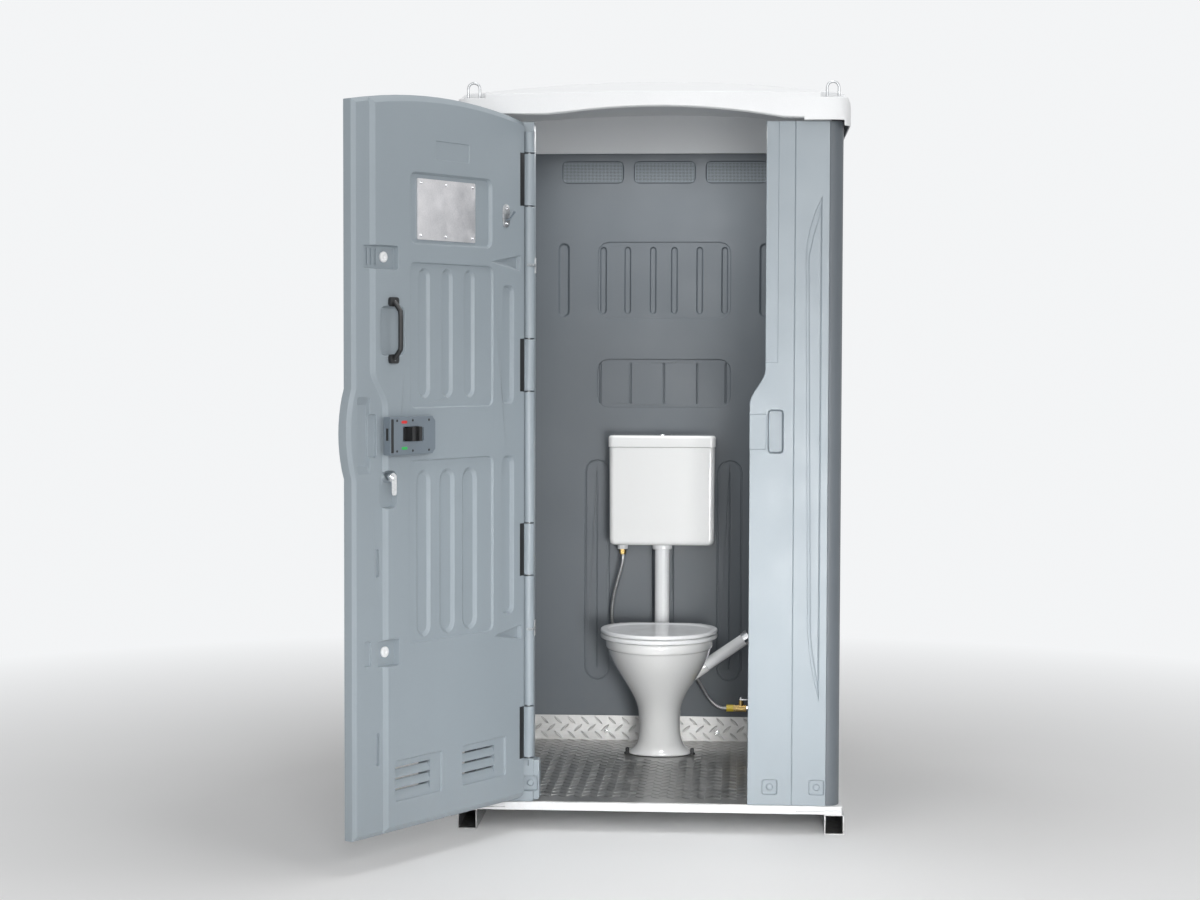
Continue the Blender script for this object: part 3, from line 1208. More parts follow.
def door_marks():
    """The recesses on the door's inside: their places, depths, corner radii and slopes."""
    slope = DOOR_RECESS_DEPTH / 2
    rows = [
        (NAME_PLACE_SHARES, DOOR_NAME_DEPTH, DOOR_SMALL_RADIUS / 2, 0),
        (MIRROR_RECESS_SHARES, DOOR_RECESS_DEPTH * 0.8, DOOR_CORNER_RADIUS, slope),
        (UPPER_CAP_SHARES, CAP_FLOOR, DOOR_SMALL_RADIUS, slope / 2),
        (LOWER_CAP_SHARES, CAP_FLOOR, DOOR_SMALL_RADIUS, slope / 2),
        (LOWER_MARK_SHARES, DOOR_PANEL_DEPTH + DOOR_RIM_STEP, DOOR_SMALL_RADIUS, slope / 2),
        (HANDLE_RECESS_SHARES, DOOR_RECESS_DEPTH * 1.5, DOOR_CORNER_RADIUS, slope),
        (SMALL_RECESS_SHARES, DOOR_RIM_STEP + DOOR_GROOVE_DEPTH, DOOR_SMALL_RADIUS, slope / 4),
        (CAM_RECESS_SHARES, CAP_FLOOR, DOOR_CORNER_RADIUS, slope / 2),
        (FINGER_SHARES, DOOR_RIM_STEP + DOOR_FINGER_DEPTH, DOOR_SMALL_RADIUS,
         (slope, DOOR_FINGER_END_SLOPE)),
        (TALL_UPPER_SHARES, DOOR_RECESS_DEPTH, DOOR_CORNER_RADIUS, slope),
        (TALL_LOWER_SHARES, DOOR_RECESS_DEPTH, DOOR_CORNER_RADIUS, slope),
    ]
    rows += [(shares, DOOR_RIM_STEP + DOOR_GROOVE_DEPTH, DOOR_SMALL_RADIUS, slope / 4)
             for shares in RIM_SLOT_SHARES]
    return [(on_door(shares), depth, radius, draft) for shares, depth, radius, draft in rows]


def ribbed_recesses():
    return ((UPPER_RIBBED_SHARES, UPPER_GROOVE_SHARES, UPPER_GROOVE_HEIGHT_SHARES),
            (LOWER_RIBBED_SHARES, LOWER_GROOVE_SHARES, LOWER_GROOVE_HEIGHT_SHARES))


def door_hollow(made):
    """The space inside the moulded door, with an even skin round every recess and a drain at its foot."""
    outer = -DOOR_THICKNESS + DOOR_SKIN + DOOR_OUTSIDE_PANEL_DEPTH
    low = FOOT_CLEARANCE + DOOR_RIM_STEP + DOOR_SKIN
    high = door_arch(0) - DOOR_RIM_STEP - DOOR_SKIN * 2
    start = HINGE_TO_EDGE * 2 + DOOR_SKIN
    body_end = HINGE_TO_EDGE + STEP_LOW_SHARE * DOOR_WIDTH - DOOR_STEP_RUN
    rim_end = HINGE_TO_EDGE + DOOR_WIDTH - DOOR_SKIN * 2
    space = box("space", (start, outer, low), (body_end, -DOOR_SKIN, high))
    rim_high = door_arch(DOOR_WIDTH) - DOOR_SKIN * 4
    join(space, box("rim_space", (body_end - CUT, outer, low + DOOR_SKIN),
                    (rim_end, -DOOR_RIM_STEP - DOOR_SKIN, rim_high)))
    marks = [(limits, depth) for limits, depth, radius, draft in door_marks()]
    marks += [(on_door(shares), DOOR_THICKNESS) for shares in LOUVRE_SHARES]
    for recess, grooves, heights in ribbed_recesses():
        marks.append((on_door(recess), DOOR_PANEL_DEPTH))
        marks += [(on_door((*groove, *heights)), DOOR_PANEL_DEPTH + DOOR_GROOVE_DEPTH)
                  for groove in grooves]
    for tip_a, tip_b, base_a, base_low, base_high in TRIANGLE_SHARES:
        marks.append((on_door((base_a, tip_a, base_low, base_high)), DOOR_RECESS_DEPTH))
    for limits, depth in marks:
        cut(space, guard(limits, 0, -1, depth, DOOR_SKIN))
    middle = HINGE_TO_EDGE + (LOUVRE_SHARES[1][1] + LOUVRE_SHARES[0][0]) / 2 * DOOR_WIDTH
    half = DOOR_SKIN * 4
    join(space, box("drain", (middle - half, outer + DOOR_SKIN, FOOT_CLEARANCE - CUT),
                    (middle + half, -DOOR_RECESS_DEPTH, low + CUT)))
    return cut(made, space)


def door_triangles():
    """Cutters for the two pointed recesses at the hinge edge."""
    cutters = []
    for tip_a, tip_b, base_a, base_low, base_high in TRIANGLE_SHARES:
        tip = (HINGE_TO_EDGE + tip_a * DOOR_WIDTH, tip_b * WALL_HEIGHT)
        low = (HINGE_TO_EDGE + base_a * DOOR_WIDTH, base_low * WALL_HEIGHT)
        high = (low[0], base_high * WALL_HEIGHT)
        middle = (low[0], (low[1] + high[1]) / 2)
        cutters.append(loft("triangle", [
            [(p[0], CUT, p[1]) for p in (low, tip, high)],
            [(p[0], 0, p[1]) for p in (low, tip, high)],
            [(low[0] + DOOR_SKIN, -DOOR_RECESS_DEPTH, low[1] + DOOR_SKIN),
             (middle[0] + (tip[0] - middle[0]) * 0.45, -DOOR_RECESS_DEPTH, middle[1]),
             (high[0] + DOOR_SKIN, -DOOR_RECESS_DEPTH, high[1] - DOOR_SKIN)],
        ]))
    return cutters


def ribbed_recess(made, recess, grooves, heights):
    """A recess with three round-ended grooves in its floor."""
    slope = DOOR_PANEL_DEPTH / 2
    cut(made, pocket(on_door(recess), DOOR_PANEL_DEPTH, 0, -1, DOOR_CORNER_RADIUS, slope))
    cutters = []
    for a0, a1 in grooves:
        limits = on_door((a0, a1, heights[0], heights[1]))
        half = (limits[1] - limits[0]) / 2
        cutters.append(pocket(limits, DOOR_GROOVE_DEPTH, -DOOR_PANEL_DEPTH, -1, half, half / 3))
    return cut(made, together(*cutters))


def louvres(made, shares):
    """Three sloping slots right through the door, in a shallow recess whose blades lean out between them."""
    a0, a1, b0, b1 = on_door(shares)
    cut(made, pocket((a0, a1, b0, b1), DOOR_PANEL_DEPTH, 0, -1, DOOR_SMALL_RADIUS, DOOR_SKIN / 2, 3))
    start, end = a0 + (a1 - a0) * LOUVRE_END_SHARE, a1 - DOOR_SKIN
    floor, deep = -DOOR_PANEL_DEPTH, -DOOR_PANEL_DEPTH - LOUVRE_BLADE_DEPTH
    slopes, slots = [], []
    for share in LOUVRE_SLOT_SHARES:
        low = b0 + (b1 - b0) * share - LOUVRE_GAP / 2
        high = low + LOUVRE_GAP
        section = [(floor + LOUVRE_GAP, low - LOUVRE_BLADE), (floor, low - LOUVRE_BLADE), (deep, low),
                   (deep, high), (floor + LOUVRE_GAP, high)]
        slopes.append(prism("slope", section, start, end, "X"))
        near = [(start + GAP, low + GAP), (end - GAP, low + GAP), (end - GAP, high - GAP), (start + GAP, high - GAP)]
        far = [(u, z - LOUVRE_GAP * 2) for u, z in near]
        slots.append(prism("slot", near, deep + LOUVRE_BLADE_DEPTH / 2, -DOOR_THICKNESS - DOOR_SKIN, "Y", far))
    cut(made, together(*slopes))
    return cut(made, together(*slots))


def door_shell(parent, paint):
    """The moulded door: one hollow blow-moulded piece with its hinge knuckles."""
    made = door_blank()
    door_hollow(made)
    for limits, depth, radius, draft in door_marks():
        cut(made, pocket(limits, depth, 0, -1, radius, draft))
    cut(made, *door_triangles())
    for recess, grooves, heights in ribbed_recesses():
        ribbed_recess(made, recess, grooves, heights)
    for shares in LOUVRE_SHARES:
        louvres(made, shares)
    outside = [pocket(on_door(shares), DOOR_OUTSIDE_PANEL_DEPTH, -DOOR_THICKNESS, 1, DOOR_CORNER_RADIUS,
                      DOOR_OUTSIDE_PANEL_DEPTH, 4) for shares in OUTSIDE_PANEL_SHARES]
    cut(made, together(*outside))
    for place in (UPPER_CAP_PLACE_SHARES, LOWER_CAP_PLACE_SHARES):
        u, z = HINGE_TO_EDGE + place[0] * DOOR_WIDTH, place[1] * WALL_HEIGHT
        floor = -CAP_FLOOR
        join(made, turned("cap", [(0, CAP_HEIGHT), (CAP_RADIUS * 0.7, CAP_HEIGHT), (CAP_RADIUS, 0),
                                  (CAP_RADIUS, -FINE_GROOVE), (0, -FINE_GROOVE)], (u, floor, z), 12, "Y"))
    for z in knuckle_heights():
        low, high = z - KNUCKLE_LENGTH / 2, z + KNUCKLE_LENGTH / 2
        knuckle = rod("knuckle", (0, 0, low), (0, 0, high), KNUCKLE_RADIUS, 14)
        web = box("web", (0, -KNUCKLE_WEB, low), (HINGE_TO_EDGE + DOOR_SKIN, -KNUCKLE_WEB / 6, high))
        join(knuckle, web)
        cut(knuckle, rod("bore", (0, 0, low - CUT), (0, 0, high + CUT), ROD_RADIUS + ROD_BORE_CLEARANCE, 12))
        join(made, knuckle)
    middle = (LOCK_GRIP_SHARES[2] + LOCK_GRIP_SHARES[3]) / 2 * WALL_HEIGHT
    place = HINGE_TO_EDGE + LOCK_WINDOW_SHARE * DOOR_WIDTH
    radius = DOOR_SMALL_RADIUS
    cut(made, box("lock_way", (place - radius, -DOOR_THICKNESS - CUT, middle - radius),
                  (place + radius + LOCK_TRAVEL, CUT, middle + radius)))
    u, z = HINGE_TO_EDGE + CAM_PLACE_SHARES[0] * DOOR_WIDTH, CAM_PLACE_SHARES[1] * WALL_HEIGHT
    cut(made, rod("spindle_hole", (u, -DOOR_THICKNESS - CUT, z), (u, CUT, z), CAM_SPINDLE_RADIUS + GAP, 16))
    return finish(made, parent, paint)


def mirror(parent, paint):
    limits = on_door(MIRROR_SHARES)
    floor = -DOOR_RECESS_DEPTH * 0.8 + GAP
    made = prism("mirror", rounded(*limits, DOOR_SMALL_RADIUS / 2), floor, floor + MIRROR_THICKNESS)
    return finish(made, parent, paint, (limits[0], floor, limits[2]), smooth=False)


def coat_hook(parent, paint):
    """A screwed plate with one bent wire hook."""
    limits = on_door(HOOK_PLATE_SHARES)
    made = prism("coat_hook", rounded(*limits, DOOR_SMALL_RADIUS / 2), GAP, GAP + HOOK_PLATE_THICKNESS)
    u = (limits[0] + limits[1]) / 2
    z = HOOK_PLACE_SHARES[1] * WALL_HEIGHT
    wire = HOOK_PLATE_THICKNESS
    points = [(u, GAP + wire * 1.2, z), (u, HOOK_REACH * 0.35, z - HOOK_REACH * 0.35),
              (u, HOOK_REACH * 0.75, z - HOOK_REACH * 0.45), (u, HOOK_REACH, z - HOOK_REACH * 0.1),
              (u, HOOK_REACH * 1.05, z + HOOK_REACH * 0.2)]
    join(made, pipe("wire", points, wire, 8))
    return finish(made, parent, paint, (u, GAP, z))


def grab_handle(parent, paint):
    """The black bow handle, with a flat foot at both ends."""
    limits = on_door(HANDLE_SHARES)
    u = (limits[0] + limits[1]) / 2
    half = HANDLE_BAR / 2
    length = limits[3] - limits[2]
    foot = length * 0.14
    rings = []
    steps = 12
    for i in range(steps + 1):
        share = i / steps
        z = limits[2] + foot * 0.5 + (length - foot) * share
        lift = GAP + half * 0.7 + (HANDLE_REACH - half * 1.5) * min(1, math.sin(share * math.pi) * 1.9)
        rings.append((u, lift, z))
    made = pipe("grab_handle", rings, half * 0.7, 10)
    for z in (limits[2], limits[3] - foot):
        outline = rounded(limits[0], limits[1], z, z + foot, half * 0.8)
        join(made, prism("foot", outline, GAP, GAP + half * 0.9))
    return finish(made, parent, paint, (u, GAP, limits[2]))


def lock_case(parent, paint):
    """The dark case of the lock, open at its free end for the bolt and in its face for the grip."""
    limits = on_door(LOCK_CASE_SHARES)
    chamfer = LOCK_CASE_DEPTH / 2
    a0, a1, b0, b1 = limits
    outline = [(a0 + chamfer, b0), (a1, b0), (a1, b1),
               (a0 + chamfer, b1), (a0, b1 - chamfer), (a0, b0 + chamfer)]
    made = prism("lock_case", outline, GAP, LOCK_CASE_DEPTH)
    middle = (LOCK_GRIP_SHARES[2] + LOCK_GRIP_SHARES[3]) / 2 * WALL_HEIGHT
    grip = on_door(LOCK_GRIP_SHARES)
    bolt_low = middle - LOCK_BOLT_HEIGHT / 2 - GAP
    bolt_high = middle + LOCK_BOLT_HEIGHT / 2 + GAP
    bolt_start = a1 - BOLT_LENGTH - LOCK_TRAVEL
    cut(made, box("bolt_way", (bolt_start, BOLT_PLACE - GAP, bolt_low),
                  (a1 + CUT, BOLT_PLACE + LOCK_BOLT_THICKNESS + GAP, bolt_high)))
    cut(made, box("grip_way", (grip[0] - GAP, BOLT_PLACE, grip[2] - GAP),
                  (grip[1] + LOCK_TRAVEL + GAP, LOCK_CASE_DEPTH + CUT, grip[3] + GAP)))
    window = on_door((LOCK_WINDOW_SHARE, LOCK_WINDOW_SHARE, 0, 0))[0]
    cut(made, box("pin_way", (window - DOOR_SMALL_RADIUS, -CUT, middle - DOOR_SMALL_RADIUS),
                  (window + DOOR_SMALL_RADIUS + LOCK_TRAVEL, BOLT_PLACE, middle + DOOR_SMALL_RADIUS)))
    slot = on_door(LOCK_SLOT_SHARES)
    cut(made, pocket(slot, chamfer / 2, LOCK_CASE_DEPTH, -1, DOOR_SMALL_RADIUS / 2, 0, 3))
    return finish(made, parent, paint, (a0, GAP, b0))


def lock_bolt(parent, paint):
    """The sliding bolt with its finger grip, and the pin that carries the outside indicator."""
    limits = on_door(LOCK_CASE_SHARES)
    grip = on_door(LOCK_GRIP_SHARES)
    middle = (grip[2] + grip[3]) / 2
    end = limits[1] - GAP
    made = box("lock_bolt", (end - BOLT_LENGTH, BOLT_PLACE, middle - LOCK_BOLT_HEIGHT / 2),
               (end, BOLT_PLACE + LOCK_BOLT_THICKNESS, middle + LOCK_BOLT_HEIGHT / 2))
    knob = prism("grip", rounded(grip[0], grip[1], grip[2], grip[3], DOOR_SMALL_RADIUS / 3),
                 BOLT_PLACE + LOCK_BOLT_THICKNESS / 2, LOCK_CASE_DEPTH + LOCK_GRIP_REACH)
    groove = box("groove", (grip[0] + (grip[1] - grip[0]) * 0.3, LOCK_CASE_DEPTH + LOCK_GRIP_REACH * 0.3,
                            grip[2] - CUT), (grip[1] - (grip[1] - grip[0]) * 0.3, LOCK_CASE_DEPTH + CUT * 2,
                                             grip[3] + CUT))
    cut(knob, groove)
    join(made, knob)
    window = HINGE_TO_EDGE + LOCK_WINDOW_SHARE * DOOR_WIDTH
    half = DOOR_SMALL_RADIUS * 0.6
    pin = box("pin", (window - half, -DOOR_THICKNESS - INDICATOR_GAP, middle - half),
              (window + half, BOLT_PLACE + LOCK_BOLT_THICKNESS / 2, middle + half))
    join(made, pin)
    return finish(made, parent, paint, (end, BOLT_PLACE, middle), smooth=False)


def outer_lock_case(parent, paint):
    """The outside cover of the lock, a shallow open-backed case with a window."""
    a0, a1, b0, b1 = on_door(LOCK_CASE_SHARES)
    a0 += (a1 - a0) * 0.25
    face = -DOOR_THICKNESS - GAP
    outline = rounded(a0, a1, b0, b1, DOOR_SMALL_RADIUS)
    made = prism("outer_lock_case", outline, face - OUTER_CASE_DEPTH, face)
    wall = OUTER_CASE_WALL
    cut(made, box("inside", (a0 + wall, face - OUTER_CASE_DEPTH + wall, b0 + wall),
                  (a1 - wall, face + CUT, b1 - wall)))
    middle = (LOCK_GRIP_SHARES[2] + LOCK_GRIP_SHARES[3]) / 2 * WALL_HEIGHT
    window = HINGE_TO_EDGE + LOCK_WINDOW_SHARE * DOOR_WIDTH
    cut(made, rod("window", (window + LOCK_TRAVEL / 2, face - OUTER_CASE_DEPTH - CUT, middle),
                  (window + LOCK_TRAVEL / 2, face, middle), LOCK_TRAVEL / 2 - wall / 2, 16))
    return finish(made, parent, paint, (a0, face, b0))


def lock_indicator(parent, paint):
    """The sliding plate behind the window, half green and half red."""
    middle = (LOCK_GRIP_SHARES[2] + LOCK_GRIP_SHARES[3]) / 2 * WALL_HEIGHT
    window = HINGE_TO_EDGE + LOCK_WINDOW_SHARE * DOOR_WIDTH
    near = -DOOR_THICKNESS - INDICATOR_GAP - GAP
    half = LOCK_BOLT_HEIGHT * 0.4
    made = box("lock_indicator", (window - LOCK_TRAVEL * 0.9, near - MIRROR_THICKNESS / 2, middle - half),
               (window + LOCK_TRAVEL, near, middle + half))
    return finish(made, parent, paint, (window, near, middle), smooth=False)


def cam_latch(parent, paint):
    """The staff lock: a round spindle through the door with a flat tongue that turns behind the post."""
    u, z = HINGE_TO_EDGE + CAM_PLACE_SHARES[0] * DOOR_WIDTH, CAM_PLACE_SHARES[1] * WALL_HEIGHT
    made = turned("cam_latch", [(0, -DOOR_THICKNESS - CAM_THICKNESS), (CAM_SPINDLE_RADIUS * 0.8,
                  -DOOR_THICKNESS - CAM_THICKNESS), (CAM_SPINDLE_RADIUS * 0.8, CAM_PLACE + CAM_THICKNESS * 1.6),
                  (0, CAM_PLACE + CAM_THICKNESS * 1.6)], (u, 0, z), 16, "Y")
    half = CAM_WIDTH / 2
    tongue = prism("tongue", rounded(u - half, u + half, z - CAM_LENGTH, z + half, half * 0.6), CAM_PLACE,
                   CAM_PLACE + CAM_THICKNESS)
    join(made, tongue)
    return finish(made, parent, paint, (u, 0, z))


def cam_bush(parent, paint):
    """The chrome bush of the staff lock, seated in its recess round the spindle."""
    u, z = HINGE_TO_EDGE + CAM_PLACE_SHARES[0] * DOOR_WIDTH, CAM_PLACE_SHARES[1] * WALL_HEIGHT
    floor = -CAP_FLOOR + GAP
    radius = CAM_SPINDLE_RADIUS
    made = turned("cam_bush", [(radius, floor), (radius * 1.6, floor), (radius * 1.6, CAM_PLACE - GAP),
                               (radius, CAM_PLACE - GAP)], (u, 0, z), 16, "Y")
    return finish(made, parent, paint, (u, floor, z))


def egg(half, front, back, z, sides=RIM_SIDES):
    """A pan outline at one height: round in front, fuller and squarer behind."""
    middle = front + (back - front) * EGG_SHARE
    points = []
    for i in range(sides):
        angle = math.tau * i / sides
        c, s = math.cos(angle), math.sin(angle)
        power = 0.86 if s > 0 else 1.0
        reach = (back - middle) if s > 0 else (middle - front)
        points.append((half * math.copysign(abs(c) ** power, c),
                       middle + reach * math.copysign(abs(s) ** power, s), z))
    return points


def pan_rings(sections, height, start):
    rings = []
    for share, half, front, back in sections:
        rings.append(egg(half * PAN_WIDTH, PAN_FRONT + front * PAN_LENGTH, PAN_FRONT + back * PAN_LENGTH,
                         start + share * height))
    return rings


def toilet_pan(parent, paint):
    """The ceramic pan: a turned-in pedestal, a hollow bowl, and spigots behind it for flush and soil."""
    made = loft("toilet_pan", pan_rings(PAN_SECTION_SHARES, PAN_RIM_HEIGHT, GAP))
    back = PAN_FRONT + PAN_LENGTH
    soil_z = SOIL_HEIGHT_SHARE * PAN_RIM_HEIGHT
    inlet_z = INLET_HEIGHT_SHARE * PAN_RIM_HEIGHT
    spigot = SOIL_DIAMETER / 2 - SOIL_WALL * 1.5
    join(made, rod("soil_spigot", (0, back - PAN_LENGTH * 0.3, soil_z),
                   (0, back - PAN_WALL * 0.8, soil_z), spigot, 20))
    inlet_radius = FLUSH_PIPE_DIAMETER / 2 + PAN_WALL / 2
    join(made, rod("inlet", (0, back - PAN_LENGTH * 0.12, inlet_z),
                   (0, back + PAN_WALL, inlet_z), inlet_radius, 20))
    join(made, rod("waste_boss", waste_line(-WASTE_DIAMETER * 1.4), waste_line(WASTE_DIAMETER * 0.12),
                   WASTE_DIAMETER / 2 + WASTE_WALL, 16))
    mouth = [(x, y, z + CUT) for x, y, z in pan_rings(BOWL_SECTION_SHARES[:1], 0, PAN_RIM_HEIGHT)[0]]
    bowl = loft("bowl", [mouth] + pan_rings(BOWL_SECTION_SHARES, BOWL_DEPTH, PAN_RIM_HEIGHT - BOWL_DEPTH))
    cut(made, bowl)
    inlet_bore = rod("inlet_bore", (0, PAN_FRONT + PAN_LENGTH * 0.7, inlet_z), (0, back + CUT * 2, inlet_z),
                     FLUSH_PIPE_BORE / 2, 16)
    cut(made, inlet_bore)
    low = PAN_RIM_HEIGHT - BOWL_DEPTH
    outlet = pipe("outlet", [(0, PAN_FRONT + PAN_LENGTH * 0.55, low + PAN_WALL),
                             (0, PAN_FRONT + PAN_LENGTH * 0.72, low - PAN_WALL / 2), (0, back + CUT, soil_z)],
                  spigot - PAN_WALL * 1.2, 12)
    cut(made, outlet)
    for side in (-1, 1):
        x, y = side * SEAT_WIDTH * 0.19, SEAT_AXIS_Y
        cut(made, rod("bolt_hole", (x, y, PAN_RIM_HEIGHT * 0.8), (x, y, PAN_RIM_HEIGHT + CUT),
                      SEAT_PIN_RADIUS + GAP, 10))
    return finish(made, parent, paint, (0, PAN_FRONT, 0))


def waste_line(distance):
    """A point on the waste pipe's axis, from the pan's side up to the right."""
    start = Vector((PAN_WIDTH * 0.4176, PAN_FRONT + PAN_LENGTH * 0.80, PAN_RIM_HEIGHT * 0.7365))
    direction = Vector((math.cos(WASTE_SLOPE), 0, math.sin(WASTE_SLOPE)))
    return start + direction * distance


def pan_fixings(parent, paint):
    """Two screws with wide heads that hold the pan's foot to the floor."""
    for name, side in (("pan_fixing_left", -1), ("pan_fixing_right", 1)):
        x, y = side * PAN_WIDTH * 0.302, PAN_FRONT + PAN_LENGTH * 0.80
        profile = [(0, GAP), (CAP_RADIUS, GAP), (CAP_RADIUS, CAP_HEIGHT),
                   (CAP_RADIUS * 0.6, CAP_HEIGHT * 1.5), (CAP_RADIUS * 0.6, CAP_HEIGHT * 4),
                   (0, CAP_HEIGHT * 4.5)]
        made = turned(name, profile, (x, y, 0), 14)
        finish(made, parent, paint, (x, y, GAP))


def soil_connector(parent, paint):
    """The soft elbow behind the pan that turns the outlet down into the floor."""
    back = PAN_FRONT + PAN_LENGTH
    soil_z = SOIL_HEIGHT_SHARE * PAN_RIM_HEIGHT
    bend = SOIL_Y - back + SOIL_DIAMETER * 0.16
    start = SOIL_Y - bend
    points = [(0, start - PAN_WALL * 0.2, soil_z)]
    steps = 5
    for i in range(steps + 1):
        angle = math.radians(90 * i / steps)
        points.append((0, start + bend * math.sin(angle), soil_z - bend * (1 - math.cos(angle))))
    points += [(0, SOIL_Y, SOIL_WALL * 4), (0, SOIL_Y, GAP)]
    made = pipe("soil_connector", points, SOIL_DIAMETER / 2, 16, SOIL_DIAMETER / 2 - SOIL_WALL)
    return finish(made, parent, paint, (0, SOIL_Y, GAP))


def seat_bottom():
    return PAN_RIM_HEIGHT + 2 * GAP


def seat_axis():
    return SEAT_AXIS_Y, seat_bottom() + SEAT_THICKNESS - SEAT_AXIS_DROP


def seat_outline(half_extra, z, front_extra=0):
    """The egg outline of seat and lid, cut straight behind at the hinge."""
    half = SEAT_WIDTH / 2 + half_extra
    front = SEAT_FRONT - front_extra
    back = SEAT_FRONT + SEAT_LENGTH
    return egg(half, front, back + half_extra, z)


def seat(parent, paint):
    """The open seat ring with a crowned top, and two ears round the hinge pin."""
    foot = seat_bottom()
    top = foot + SEAT_THICKNESS - GAP
    made = loft("seat", [seat_outline(-SEAT_CHAMFER, foot), seat_outline(0, foot + SEAT_CHAMFER),
                         seat_outline(0, top - SEAT_CHAMFER), seat_outline(-SEAT_CHAMFER, top)])
    ring = SEAT_RING
    hole = [[(x, y, z) for x, y, z in egg(SEAT_WIDTH / 2 - r, SEAT_FRONT + r * 1.05,
                                          SEAT_FRONT + SEAT_LENGTH - r * 1.6, level)]
            for r, level in ((ring - SEAT_CHAMFER, top + CUT), (ring - SEAT_CHAMFER, top),
                             (ring, top - SEAT_CHAMFER), (ring, foot - CUT))]
    cut(made, loft("hole", hole))
    y, z = seat_axis()
    clear_radius = SEAT_THICKNESS * 0.75
    cut(made, box("hinge_space", (-SEAT_WIDTH, y - clear_radius, foot - CUT),
                  (SEAT_WIDTH, y + CUT * 5, top + CUT)))
    for side in (-1, 1):
        x = side * SEAT_WIDTH * SEAT_EAR_SHARE
        half = SEAT_EAR_WIDTH / 2
        ear = box("ear", (x - half, y - clear_radius - SEAT_THICKNESS, z - SEAT_PIN_RADIUS * 2),
                  (x + half, y, z + SEAT_PIN_RADIUS * 0.8))
        join(ear, rod("round", (x - half, y, z), (x + half, y, z), SEAT_PIN_RADIUS * 2, 14))
        cut(ear, rod("bore", (x - half - CUT, y, z), (x + half + CUT, y, z),
                     SEAT_PIN_RADIUS + ROD_BORE_CLEARANCE, 12))
        join(made, ear)
    return finish(made, parent, paint, (0, y, z))


def lid(parent, paint):
    """The seat's lid: a thin shell with a raised rim round a flat middle, and two ears on the pin."""
    foot = seat_bottom() + SEAT_THICKNESS + GAP
    top = foot + LID_THICKNESS
    made = loft("lid", [seat_outline(0, foot), seat_outline(0, top - SEAT_CHAMFER),
                        seat_outline(-SEAT_CHAMFER, top)])
    y, z = seat_axis()
    clear_radius = SEAT_THICKNESS * 0.75
    cut(made, box("hinge_space", (-SEAT_WIDTH, y - clear_radius, foot - CUT),
                  (SEAT_WIDTH, y + CUT * 5, top + CUT)))
    dish = SEAT_RING * 0.42
    dished = [egg(SEAT_WIDTH / 2 - r, SEAT_FRONT + r, SEAT_FRONT + SEAT_LENGTH - r * 2.2, level)
              for r, level in ((dish - LID_DISH, top + CUT), (dish - LID_DISH, top),
                               (dish + LID_DISH, top - LID_DISH))]
    cut(made, loft("dish", dished))
    under = [egg(SEAT_WIDTH / 2 - r, SEAT_FRONT + r, SEAT_FRONT + SEAT_LENGTH - r * 4, level)
             for r, level in ((LID_DISH, foot - CUT), (LID_DISH, foot), (LID_DISH * 2, foot + LID_DISH))]
    cut(made, loft("under", under))
    for side in (-1, 1):
        x = side * SEAT_WIDTH * LID_EAR_SHARE
        half = SEAT_EAR_WIDTH / 2
        ear = box("ear", (x - half, y - clear_radius - SEAT_THICKNESS, foot),
                  (x + half, y, top - SEAT_CHAMFER / 2))
        join(ear, rod("round", (x - half, y, z), (x + half, y, z), SEAT_PIN_RADIUS * 2, 14))
        join(ear, box("neck", (x - half, y - SEAT_PIN_RADIUS * 2, z),
                      (x + half, y + SEAT_PIN_RADIUS, top - SEAT_CHAMFER)))
        cut(ear, rod("bore", (x - half - CUT, y, z), (x + half + CUT, y, z),
                     SEAT_PIN_RADIUS + ROD_BORE_CLEARANCE, 12))
        join(made, ear)
    return finish(made, parent, paint, (0, y, z))


def seat_hinge(parent, paint):
    """The hinge pin on its two posts, which are bolted through the pan's rear."""
    y, z = seat_axis()
    reach = SEAT_WIDTH * LID_EAR_SHARE + SEAT_EAR_WIDTH
    made = rod("seat_hinge", (-reach, y, z), (reach, y, z), SEAT_PIN_RADIUS, 12)
    for side in (-1, 1):
        x = side * SEAT_WIDTH * POST_EAR_SHARE
        join(made, rod("block", (x - SEAT_EAR_WIDTH / 2, y, z), (x + SEAT_EAR_WIDTH / 2, y, z),
                       SEAT_PIN_RADIUS * 1.7, 14))
        join(made, rod("post", (x, y, PAN_RIM_HEIGHT * 0.85), (x, y, z), SEAT_PIN_RADIUS, 10))
    return finish(made, parent, paint, (0, y, z))


def cistern_ring(half, front, back, z, bulge):
    """A box-shaped outline whose front side bows out a little."""
    outline = rounded(-half, half, front, back, CISTERN_CORNER, 3)
    return [(x, y - bulge * (1 - (x / half) ** 2) if y < (front + back) / 2 else y, z) for x, y in outline]


